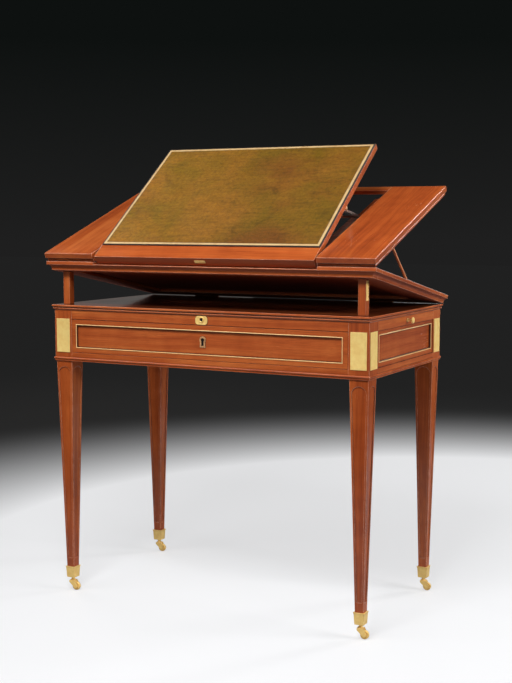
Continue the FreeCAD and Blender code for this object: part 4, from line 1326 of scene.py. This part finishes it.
@dataclass
class BeadFrames:
    """Half round brass beads round the sunk fields of the drawer front and the side panels."""

    finishes: Finishes
    bead: float = 2.0 * MM
    crown: float = 0.9 * MM          # rounding of the crown
    segments: int = 5

    def frame_piece(self, name: str, width: float, height: float, depth: float) -> Piece:
        """One bead frame on the XY plane, its crown upwards at Z = 0.

        Args:
            name: Name of the frame.
            width: Outer size along X.
            height: Outer size along Y.
            depth: Thickness of the frame.

        Returns:
            The frame.
        """
        ring = new_sheet(name, width, height)
        with editing(ring):
            bpy.ops.mesh.inset(thickness=self.bead)
            bpy.ops.mesh.delete(type="FACE")
        thicken(ring, depth)
        with editing(ring):
            pick_edges(ring, lambda start, end: min(start.z, end.z) > -depth / 2
                       and (abs(start.x - end.x) < WELD or abs(start.y - end.y) < WELD))
            bpy.ops.mesh.bevel(offset=self.crown, segments=self.segments, profile=0.5, clamp_overlap=True)
            # Painted shade on the inner walls, towards the sunk field.
            pick_faces(ring, lambda middle, normal: abs(normal.z) < EDGE_ON and normal.dot(middle) < 0)
            dress(ring, [self.finishes.bead_brass, self.finishes.bead_wall_shade])
            paint(ring, 1)
        smooth(ring)
        return ring

    def build(self) -> None:
        """Model the frames of the drawer and of the side panels."""
        low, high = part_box("drawer_bead")
        size = high - low
        pattern = self.frame_piece("bead_pattern", size.x, size.z, size.y)
        middle = Vector(((low.x + high.x) / 2, low.y, (low.z + high.z) / 2))
        bead = move_to(pattern, "drawer_bead_frame", Matrix.Translation(middle) @ TO_FRONT)
        hang(bead, Body.DRAWER.value, "brass", "drawer_bead")
        low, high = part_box("side_beads")
        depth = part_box("drawer_bead")[1].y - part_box("drawer_bead")[0].y
        pattern = self.frame_piece("bead_pattern", high.y - low.y, high.z - low.z, depth)
        sides = []
        for x, turn in ((high.x, math.pi / 2), (low.x, -math.pi / 2)):
            middle = Vector((x, (low.y + high.y) / 2, (low.z + high.z) / 2))
            place = Matrix.Translation(middle) @ Matrix.Rotation(turn, 4, "Z") @ TO_FRONT
            sides.append(copy_to(pattern, "side_bead", place))
        scrap(pattern)
        hang(join(sides, "side_bead_frames"), Body.CASE.value, "brass", "side_beads")


@dataclass
class CornerPlaques:
    """Brass plates on the corner blocks, each with a raised border and two pins."""

    finishes: Finishes
    border: float = 1.5 * MM
    sunk: float = 0.25 * MM
    rounding: float = 0.35 * MM
    pin_radius: float = 1.0 * MM
    pin_rise: float = 0.45 * MM
    pin_inset: float = 3.8 * MM      # pins inside the upper and lower edges
    pin_outline: Outline = ((0.0, 1.0), (0.7, 0.75), (1.0, 0.0))    # shares of the radius and the rise
    pin_steps: int = 16
    bevel: float = 0.5 * MM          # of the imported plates
    face_depth: float = 0.2 * MM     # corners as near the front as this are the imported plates' faces

    def pattern(self, width: float, height: float, depth: float) -> Piece:
        """One plate, facing -Y, its back on the XZ plane.

        Args:
            width: Size along X.
            height: Size along Z.
            depth: Thickness.

        Returns:
            The plate with its pins.
        """
        plate = new_block("plaque", Vector((-width / 2, -depth, -height / 2)), Vector((width / 2, 0, height / 2)))
        with editing(plate):
            pick_faces(plate, lambda middle, normal: normal.y < -FACING)
            bpy.ops.mesh.inset(thickness=self.border)
            bpy.ops.transform.translate(value=(0, self.sunk, 0))
        round_over(plate, self.rounding, segments=2, angle=20.0)
        pieces = [plate]
        for z in (-height / 2 + self.pin_inset, height / 2 - self.pin_inset):
            pin = turned("plaque_pin", scaled(self.pin_outline, self.pin_radius, self.pin_rise), self.pin_steps)
            pieces.append(move_to(pin, "plaque_pin", Matrix.Translation((0, self.sunk - depth, z)) @ TO_FRONT))
        whole = join(pieces, "plaque")
        smooth(whole)
        dress(whole, [self.finishes.plaque_brass])
        return whole

    def build(self) -> None:
        """Copy the plate to the six faces that show."""
        low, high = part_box("corner_plaques")
        leg_low, leg_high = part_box("leg_front_right")
        back_low, back_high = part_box("leg_back_right")
        depth = high.x - leg_high.x
        plate = self.pattern(self.width(), high.z - low.z, depth)
        z = (low.z + high.z) / 2
        middle_x = (leg_low.x + leg_high.x) / 2
        front_y = (leg_low.y + leg_high.y) / 2
        back_y = (back_low.y + back_high.y) / 2
        places = [(side * middle_x, leg_low.y, 0.0) for side in (-1, 1)]
        places += [(leg_high.x, y, math.pi / 2) for y in (front_y, back_y)]
        places += [(-leg_high.x, y, -math.pi / 2) for y in (front_y, back_y)]
        copies = [copy_to(plate, "plaque_copy", Matrix.Translation((x, y, z)) @ Matrix.Rotation(turn, 4, "Z"))
                  for x, y, turn in places]
        scrap(plate)
        hang(join(copies, "corner_plates"), Body.CASE.value, "brass", "corner_plaques")

    def width(self) -> float:
        """Width of a plate.

        Returns:
            Width of the pair on the front.
        """
        low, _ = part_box("corner_plaques")
        corners = [corner.co for corner in frame["nodes"]["corner_plaques"].data.vertices]
        front = [corner.x for corner in corners if corner.x > 0 and corner.y < low.y + self.face_depth]
        return max(front) - min(front) + 2 * self.bevel


@dataclass
class WritingPull:
    """Oblong brass pull of the writing slide: a dished plate with a turned finger cup."""

    finishes: Finishes
    thickness: float = 2.0 * MM
    corner: float = 7.5 * MM
    rim: float = 2.6 * MM
    dish: float = 0.9 * MM
    cup_radius: float = 6.9 * MM
    cup_rise: float = 2.3 * MM
    eye_radius: float = 3.6 * MM
    cup_up: float = 1.4 * MM         # cup above the middle of the plate
    cup_outline: Outline = ((1.0, 0.0), (0.96, 0.5), (0.88, 0.85), (0.77, 1.0), (0.66, 0.86))
    eye_outline: Outline = ((1.1, 0.5), (1.0, 0.2), (0.0, 0.1))
    cup_steps: int = 36
    rounding: float = 0.6 * MM

    def plate(self, low: Vector, high: Vector) -> Piece:
        """Dished plate with rounded ends.

        Args:
            low: Lowest corner of the pull.
            high: Highest corner of the pull.

        Returns:
            The plate.
        """
        plate = new_block("pull_plate", Vector((low.x, high.y - self.thickness, low.z)), high)
        with editing(plate):
            pick_edges(plate, lambda start, end: abs(start.y - end.y) > self.thickness / 2)
            bpy.ops.mesh.bevel(offset=self.corner, segments=8, profile=0.5)
            pick_faces(plate, lambda middle, normal: normal.y < -FACING)
            bpy.ops.mesh.inset(thickness=self.rim)
            bpy.ops.transform.translate(value=(0, self.dish, 0))
        round_over(plate, self.rounding, segments=3, angle=25.0)
        return plate

    def build(self) -> None:
        """Model the plate and its cup."""
        low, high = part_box("writing_pull")
        plate = self.plate(low, high)
        profile = scaled(self.cup_outline, self.cup_radius, self.cup_rise)
        profile += scaled(self.eye_outline, self.eye_radius, self.cup_rise)
        cup = turned("pull_cup", profile, self.cup_steps)
        with editing(cup):
            # Painted shade in the eye of the cup.
            pick_faces(cup, lambda middle, normal: middle.xy.length < self.eye_radius)
            dress(cup, [self.finishes.brass, self.finishes.dark_stain_and_shade])
            paint(cup, 1)
        middle = Vector(((low.x + high.x) / 2, high.y - self.thickness + self.dish,
                         (low.z + high.z) / 2 + self.cup_up))
        placed = move_to(cup, "pull_cup", Matrix.Translation(middle) @ TO_FRONT)
        dress(plate, [self.finishes.brass, self.finishes.dark_stain_and_shade])
        pull = join([plate, placed], "writing_slide_pull")
        smooth(pull)
        hang(pull, Body.WRITING_SLIDE.value, "brass", "writing_pull")


@dataclass
class CandleKnobs:
    """Turned brass knobs of the candle slides."""

    finishes: Finishes
    steps: int = 40
    outline: Outline = (             # shares of the radius and the length, from the foot
        (0.0, 0.0), (0.62, 0.0), (0.62, 0.06), (0.5332, 0.12), (0.396, 0.2), (0.36, 0.42), (0.414, 0.60),
        (0.62, 0.68), (0.92, 0.72), (1.0, 0.79), (0.97, 0.88), (0.84, 0.95), (0.6, 0.985), (0.3, 0.998), (0.0, 1.0))

    def pattern(self, length: float, radius: float) -> Piece:
        """One knob along Z, its foot at the origin.

        Args:
            length: From the lip to the face of the knob.
            radius: Radius of the head.

        Returns:
            The knob.
        """
        knob = turned("knob", scaled(self.outline, radius, length), self.steps)
        smooth(knob, angle=50.0)
        dress(knob, [self.finishes.brass])
        return knob

    def build(self) -> None:
        """Place a knob on each candle slide."""
        for side, turn in (("left", -math.pi / 2), ("right", math.pi / 2)):
            node = "candle_knob_" + side
            low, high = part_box(node)
            knob = self.pattern(high.x - low.x, (high.z - low.z) / 2)
            foot = Vector((high.x if side == "left" else low.x, (low.y + high.y) / 2, (low.z + high.z) / 2))
            placed = move_to(knob, side + "_candle_slide_knob",
                             Matrix.Translation(foot) @ Matrix.Rotation(turn, 4, "Y"))
            hang(placed, side + "_candle_slide", "brass", node)


@dataclass
class CasterWheels:
    """Turned brass wheels with a crowned tread, a hollow web and a hub."""

    finishes: Finishes
    steps: int = 44
    hub: float = 0.36                # share of the radius
    rim: float = 0.74                # inner side of the rim
    web: float = 0.62                # share of the half width

    def pattern(self, radius: float, width: float, bore: float) -> Piece:
        """One wheel about Z, centred on the origin.

        Args:
            radius: Radius of the tread.
            width: Width between the faces of the hub.
            bore: Radius of the bore.

        Returns:
            The wheel.
        """
        half = width / 2
        side = [(bore, 1.0), (radius * self.hub * 0.9, 1.0), (radius * self.hub, 0.92),
                (radius * (self.hub + 0.06), self.web), (radius * (self.rim - 0.05), self.web),
                (radius * self.rim, 0.86), (radius * 0.84, 0.90), (radius * 0.94, 0.72), (radius * 0.985, 0.42),
                (radius, 0.0)]
        profile = [(r, -share * half) for r, share in side] + [(r, share * half) for r, share in reversed(side[:-1])]
        wheel = turned("wheel", profile + profile[:1], self.steps)
        smooth(wheel, angle=38.0)
        dress(wheel, [self.finishes.brass])
        return wheel

    def build(self) -> None:
        """Place a wheel on each axle."""
        for corner in CORNERS:
            roll = joint_of(corner + "_wheel")
            centre, axle = Vector(roll["pos_m"]), Vector(roll["axis"])
            points = [point.co - centre for point in frame["nodes"]["caster_wheel_" + corner].data.vertices]
            along = [point.dot(axle) for point in points]
            out = [(point - axle * point.dot(axle)).length for point in points]
            wheel = self.pattern(max(out), max(along) - min(along), min(out))
            place = Matrix.Translation(centre) @ axle.to_track_quat("Z", "Y").to_matrix().to_4x4()
            placed = move_to(wheel, corner + "_brass_wheel", place)
            hang(placed, corner + "_wheel", "brass", "caster_wheel_" + corner)


@dataclass
class CasterNecks:
    """Turned collars between each fork and its shoe."""

    finishes: Finishes
    radius: float = 5.6 * MM
    bore: float = 3.05 * MM
    above_wheel: float = 4.3 * MM
    below_shoe: float = 0.5 * MM
    outline: Outline = (             # shares of the radius and the rise, from the foot
        (1.0, 0.0), (1.04, 0.12), (0.98, 0.26), (0.72, 0.40), (0.66, 0.58), (0.80, 0.74), (1.0, 0.86), (0.98, 1.0))
    steps: int = 32

    def build(self) -> None:
        """Turn a collar round each stem, on the bridge of its fork."""
        for corner in CORNERS:
            swivel = joint_of(corner + "_caster")
            axis = Vector(swivel["pos_m"])
            low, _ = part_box("shoes")
            wheel_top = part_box("caster_wheel_" + corner)[1].z
            foot = wheel_top + self.above_wheel
            rise = low.z - self.below_shoe - foot
            profile = [(self.bore, 0), *scaled(self.outline, self.radius, rise), (self.bore, rise)]
            neck = turned("neck", profile, self.steps)
            smooth(neck, angle=45.0)
            dress(neck, [self.finishes.brass])
            placed = move_to(neck, corner + "_caster_neck", Matrix.Translation((axis.x, axis.y, foot)))
            hang(placed, corner + "_caster", "brass")


@dataclass
class KeyThroat:
    """Dark inside of the lock behind the keyhole, with its drill pin: dark metal and painted shade."""

    finishes: Finishes
    depth: float = 3.0 * MM          # behind the face of the plate
    half_width: float = 5.0 * MM
    half_height: float = 10.5 * MM
    wall: float = 0.6 * MM
    rounding: float = 0.2 * MM
    pin_radius: float = 1.1 * MM
    pin_outline: Outline = ((1.0, 0.0), (1.0, 1.6), (0.6, 2.0), (0.0, 2.1))    # shares of the radius, millimetres
    pin_steps: int = 16

    def build(self) -> None:
        """Model the back of the throat and the pin."""
        low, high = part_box("key_plate")
        y = low.y + self.depth
        middle = Vector(((low.x + high.x) / 2, y, (low.z + high.z) / 2))
        half = Vector((self.half_width, 0, self.half_height))
        throat = new_block("throat", middle - half, middle + half + Vector((0, self.wall, 0)))
        round_over(throat, self.rounding, segments=2)
        head = high.z - (high.x - low.x) / 2
        pin = turned("drill_pin", scaled(self.pin_outline, self.pin_radius, MM), self.pin_steps)
        placed = move_to(pin, "drill_pin", Matrix.Translation((middle.x, y, head)) @ TO_FRONT)
        dress(throat, [self.finishes.black])
        dress(placed, [self.finishes.black])
        whole = join([throat, placed], "lock_throat")
        smooth(whole)
        hang(whole, Body.DRAWER.value, "steel")


@dataclass
class Screws:
    """Slotted screws in the hinges, the racks and the toothed strips."""

    finishes: Finishes
    radius: float = 2.0 * MM
    rise: float = 0.25 * MM
    shank: float = 0.5 * MM          # of the head, below the face
    slot_width: float = 0.5 * MM
    slot_depth: float = 0.35 * MM
    steps: int = 20
    rack_edge: float = 3.2 * MM      # screws inside the outer edges of the racks
    rack_inset: float = 9.0 * MM     # and inside their ends
    rack_turns: tuple[float, ...] = (20.0, 67.0, 114.0, 161.0)
    strip_foot: float = 3.2 * MM     # screws above the feet of the post strips
    strip_head: float = 2.4 * MM     # and below their heads
    strip_turn: float = 30.0
    hinge_edge: float = 4.0 * MM     # screws inside the free edges of the hinge plates
    hinge_shares: tuple[float, ...] = (0.16, 0.50, 0.84)    # along a plate
    hinge_turns: tuple[float, ...] = (15.0, 65.0, 115.0)
    knuckle: float = 4.0 * MM        # corners nearer the hinges' backs than this are their knuckles'

    def pattern(self, finish: bpy.types.Material) -> Piece:
        """One screw head, facing +Z from the XY plane.

        Args:
            finish: Its metal.

        Returns:
            The head with its slot.
        """
        r = self.radius
        head = turned("screw", [(0, -self.shank), (r * 0.8, -self.shank), (r, 0), (r * 0.94, self.rise * 0.7),
                                (r * 0.5, self.rise), (0, self.rise)], self.steps)
        cutter = new_block("slot", Vector((-2 * r, -self.slot_width / 2, self.rise - self.slot_depth)),
                           Vector((2 * r, self.slot_width / 2, 2 * r)))
        take_up(head)
        slot = head.modifiers.new("slot", "BOOLEAN")
        slot.object = cutter
        slot.operation = "DIFFERENCE"
        slot.solver = "EXACT"
        bpy.ops.object.modifier_apply(modifier=slot.name)
        scrap(cutter)
        smooth(head)
        dress(head, [finish])
        return head

    def set_in(self, name: str, body: str, slot: str, spots: Sequence[tuple[Vector, Vector, float]]) -> None:
        """Set screws into one body.

        Args:
            name: Name of the set.
            body: The body that holds them.
            slot: The record's material slot.
            spots: Place and facing in the closed table, and turn of the slot in degrees.
        """
        head = self.pattern(self.finishes.steel if slot == "steel" else self.finishes.brass)
        pose = open_pose(body)
        copies = []
        for place, facing, turn in spots:
            aim = facing.to_track_quat("Z", "Y").to_matrix().to_4x4()
            spin = Matrix.Rotation(math.radians(turn), 4, "Z")
            copies.append(copy_to(head, "screw_copy", pose @ Matrix.Translation(place) @ aim @ spin))
        scrap(head)
        hang(join(copies, name), body, slot)

    def row(self, low: Vector, high: Vector, axis: int, count: int, inset: float) -> list[Vector]:
        """Even places along the middle of a box.

        Args:
            low: Lowest corner.
            high: Highest corner.
            axis: Axis that the row runs along.
            count: Number of screws.
            inset: First and last inside the ends.

        Returns:
            The places.
        """
        middle = (low + high) / 2
        places = []
        for index in range(count):
            place = middle.copy()
            place[axis] = low[axis] + inset + index * (high[axis] - low[axis] - 2 * inset) / (count - 1)
            places.append(place)
        return places

    def build(self) -> None:
        """Set the screws of the racks, the strips and the back hinges."""
        up, right, back = Vector((0, 0, 1)), Vector((1, 0, 0)), Vector((0, 1, 0))
        low, high = closed_box("slope_racks")
        places = self.row(low, high, 1, len(self.rack_turns), self.rack_inset)
        spots = [(Vector((side * (high.x - self.rack_edge), place.y, high.z)), up, turn)
                 for side in (-1, 1) for place, turn in zip(places, self.rack_turns)]
        self.set_in("rack_screws", Body.UPPER_LEAF.value, "steel", spots)
        for side, body in ((-1, Body.LEFT_POST), (1, Body.RIGHT_POST)):
            low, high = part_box("post_rack_left" if side < 0 else "post_rack_right")
            face = high.x if side > 0 else low.x
            ends = [(Vector((face, (low.y + high.y) / 2, z)), right * side, self.strip_turn)
                    for z in (low.z + self.strip_foot, high.z - self.strip_head)]
            self.set_in(body.value + "_rack_screws", body.value, "brass", ends)
        self.back_hinge_screws(back)

    def back_hinge_screws(self, back: Vector) -> None:
        """Set three screws in each plate of the back hinges.

        Args:
            back: Direction that the plates face.
        """
        for node, name in (("back_hinge_case_leaves", "case_hinge_screws"),
                           ("back_hinge_leaves", "leaf_hinge_screws")):
            shape = frame["nodes"][node]
            body = shape["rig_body"]
            low, high = closed_box(node)
            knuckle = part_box("back_hinge_case_leaves")[1].y
            flat = open_pose(body).inverted()
            plate = [flat @ corner.co for corner in shape.data.vertices]
            face = max(round(corner.y, 5) for corner in plate if corner.y < knuckle - self.knuckle)
            ends = [corner.x for corner in plate if corner.x > 0]
            z = low.z + self.hinge_edge if "case" in name else high.z - self.hinge_edge
            places = [min(ends) + share * (max(ends) - min(ends)) for share in self.hinge_shares]
            spots = [(Vector((side * x, face, z)), back, turn)
                     for side in (-1, 1) for x, turn in zip(places, self.hinge_turns)]
            self.set_in(name, body, "brass", spots)


# ---------------------------------------------------------------- stage


@dataclass(frozen=True)
class Softbox:
    """A soft rectangular light."""

    name: str
    place: tuple[float, float, float]
    aim: tuple[float, float, float]
    size: tuple[float, float]
    power: float
    colour: tuple[float, float, float] = (1.0, 1.0, 1.0)

    def hang(self) -> None:
        """Put the light up."""
        lamp = bpy.data.lights.new(self.name, "AREA")
        lamp.shape = "RECTANGLE"
        lamp.size, lamp.size_y = self.size
        lamp.energy = self.power
        lamp.color = self.colour
        holder = bpy.data.objects.new(self.name, lamp)
        holder.visible_camera = False
        bpy.context.scene.collection.objects.link(holder)
        holder.location = self.place
        direction = Vector(self.aim) - Vector(self.place)
        holder.rotation_euler = direction.to_track_quat("-Z", "Y").to_euler()


@dataclass
class Studio:
    """Floor, lights, surroundings and camera."""

    floor_size: float = 40.0
    floor_pale: Colour = tint(168, 169, 171)
    dusk: Colour = tint(31, 31, 31)  # far floor and foot of the background
    night: Colour = tint(14, 17, 16)
    pool: tuple[float, float, float] = (0.42, 0.5, 0.0)    # middle of the lit part of the floor
    pool_radius: float = 1.42
    pool_end: float = 2.7
    pool_falloff: float = 2.4
    floor_drop: float = 0.2 * MM                           # of the floor under the wheels
    floor_rough: float = 0.6
    floor_sheen: float = 0.2
    floor_glow: Colour = (0.50, 0.50, 0.505, 1.0)          # keeps the shadows on it pale
    front_glow: Colour = (0.9, 0.9, 0.905, 1.0)            # of the floor in front of the lit part
    front_start: float = 0.5                               # towards the camera, from the table's middle
    front_end: float = 1.5
    front_fade: tuple[float, float] = (2.6, 4.6)           # from the pool, where it sinks into the dark
    room_front: Colour = tint(86, 86, 88)                  # of the room in front of the table
    room_span: tuple[float, float] = (0.25, -0.8)          # where it begins and is full, as a direction along Y
    horizon: tuple[float, float] = (-0.02, 0.14)           # from dusk to night, as a direction along Z
    camera_place: tuple[float, float, float] = (1.3722, -2.5743, 0.9058)
    camera_pitch: float = 0.101
    camera_yaw: float = 0.483
    lens: float = 64.5
    sensor: float = 36.0
    softboxes: tuple[Softbox, ...] = (
        Softbox("overhead", (0.9, -0.5, 3.1), (0.1, 0.0, 0.7), (2.8, 2.0), 4.0),
        Softbox("front_key", (0.3, -1.6, 2.5), (0.0, -0.2, 0.65), (0.9, 0.7), 48.0),
        Softbox("right", (2.9, 0.2, 1.9), (0.0, 0.0, 0.6), (1.4, 0.6), 55.0),
        Softbox("front_left", (-1.5, -2.1, 2.7), (0.0, 0.0, 0.7), (2.0, 1.0), 30.0),
        Softbox("back_right", (1.65, 2.1, 2.05), (0.0, 0.0, 0.5), (0.5, 0.4), 21.0),
        Softbox("back_left", (-2.8, 0.9, 2.6), (0.0, 0.0, 0.4), (1.3, 1.3), 15.0),
        Softbox("front_low", (0.8, -3.0, 1.2), (0.0, -0.2, 0.6), (0.8, 0.8), 5.0),
        Softbox("back_card", (-0.4, 3.6, 1.4), (0.4, 0.0, 0.75), (1.6, 0.7), 6.0),
        Softbox("front_card", (-1.3, -4.0, 0.6), (0.2, -0.2, 0.6), (3.0, 1.6), 1.8),
        Softbox("side_card", (2.1, 3.0, 0.6), (0.4, 0.0, 0.6), (2.4, 1.6), 1.2),
        Softbox("low_back", (-3.0, 3.6, 1.1), (-0.3, 0.0, 0.7), (2.0, 0.8), 0.7, (1.0, 0.9, 0.84)),
    )

    def floor(self) -> None:
        """Lay a pale floor with a painted pool of light that sinks into the dark away from the table."""
        deselect_all()
        bpy.ops.mesh.primitive_plane_add(size=self.floor_size, location=(0, 0, -self.floor_drop))
        floor = bpy.context.active_object
        floor.name = "floor"
        finish, board, shader = new_finish("pale_floor")
        vector = coordinates(board)
        reach = board.node("ShaderNodeVectorMath", operation="DISTANCE")
        board.link(vector, reach.inputs[0])
        reach.inputs[1].default_value = self.pool
        near = board.math("POWER", board.span(reach.outputs["Value"], self.pool_end, self.pool_radius),
                          self.pool_falloff)
        board.link(board.mix(near, (0.0, 0.0, 0.0, 1.0), self.floor_pale), shader.inputs["Base Color"])
        ahead = board.node("ShaderNodeVectorMath", operation="DOT_PRODUCT")
        board.link(vector, ahead.inputs[0])
        ahead.inputs[1].default_value = (math.sin(self.camera_yaw), -math.cos(self.camera_yaw), 0.0)
        front = board.math("MULTIPLY", board.span(ahead.outputs["Value"], self.front_start, self.front_end),
                           board.span(reach.outputs["Value"], self.front_fade[1], self.front_fade[0]))
        # Painted light: a glow that only the camera sees keeps shadows on the floor pale and the floor in front
        # bright.
        glow = board.mix(front, board.mix(near, self.dusk, self.floor_glow),
                         board.mix(near, self.front_glow, self.floor_glow))
        board.link(glow, shader.inputs["Emission Color"])
        board.link(board.node("ShaderNodeLightPath").outputs["Is Camera Ray"], shader.inputs["Emission Strength"])
        shader.inputs["Roughness"].default_value = self.floor_rough
        shader.inputs["Specular IOR Level"].default_value = self.floor_sheen
        dress(floor, [finish])

    def surroundings(self) -> None:
        """Dim room: lighter in front of the table, dark behind it."""
        world = bpy.data.worlds.new("studio")
        world.use_nodes = True
        bpy.context.scene.world = world
        board = Board(world.node_tree)
        sky = next(node for node in world.node_tree.nodes if node.type == "BACKGROUND")
        split = board.node("ShaderNodeSeparateXYZ")
        board.link(board.node("ShaderNodeTexCoord").outputs["Generated"], split.inputs[0])
        unseen = board.math("SUBTRACT", 1.0, board.node("ShaderNodeLightPath").outputs["Is Camera Ray"])
        front = board.math("MULTIPLY", board.span(split.outputs["Y"], *self.room_span), unseen)
        behind = board.ramp(board.span(split.outputs["Z"], *self.horizon), [(0.0, self.dusk), (1.0, self.night)])
        board.link(board.mix(front, behind, self.room_front), sky.inputs["Color"])
        sky.inputs["Strength"].default_value = 1.0

    def camera(self) -> None:
        """Set the camera at the photograph's angle."""
        lens = bpy.data.cameras.new("camera")
        lens.lens = self.lens
        lens.sensor_width = self.sensor
        holder = bpy.data.objects.new("camera", lens)
        bpy.context.scene.collection.objects.link(holder)
        holder.location = self.camera_place
        holder.rotation_euler = (math.pi / 2 - self.camera_pitch, 0, self.camera_yaw)
        bpy.context.scene.camera = holder

    def build(self) -> None:
        """Build the studio."""
        bpy.context.scene.view_settings.view_transform = "Standard"
        self.floor()
        self.surroundings()
        for softbox in self.softboxes:
            softbox.hang()
        self.camera()


def main() -> None:
    """Dress the table, add its fittings and set the stage."""
    logging.basicConfig(level=logging.INFO, format="%(name)s: %(message)s")
    finishes = mix_finishes()
    Joinery(finishes).dress()
    for fitting in (LeatherInset, BeadFrames, CornerPlaques, WritingPull, CandleKnobs, CasterWheels, CasterNecks,
                    KeyThroat, Screws):
        fitting(finishes).build()
    Studio().build()


if __name__ == "__main__":
    main()
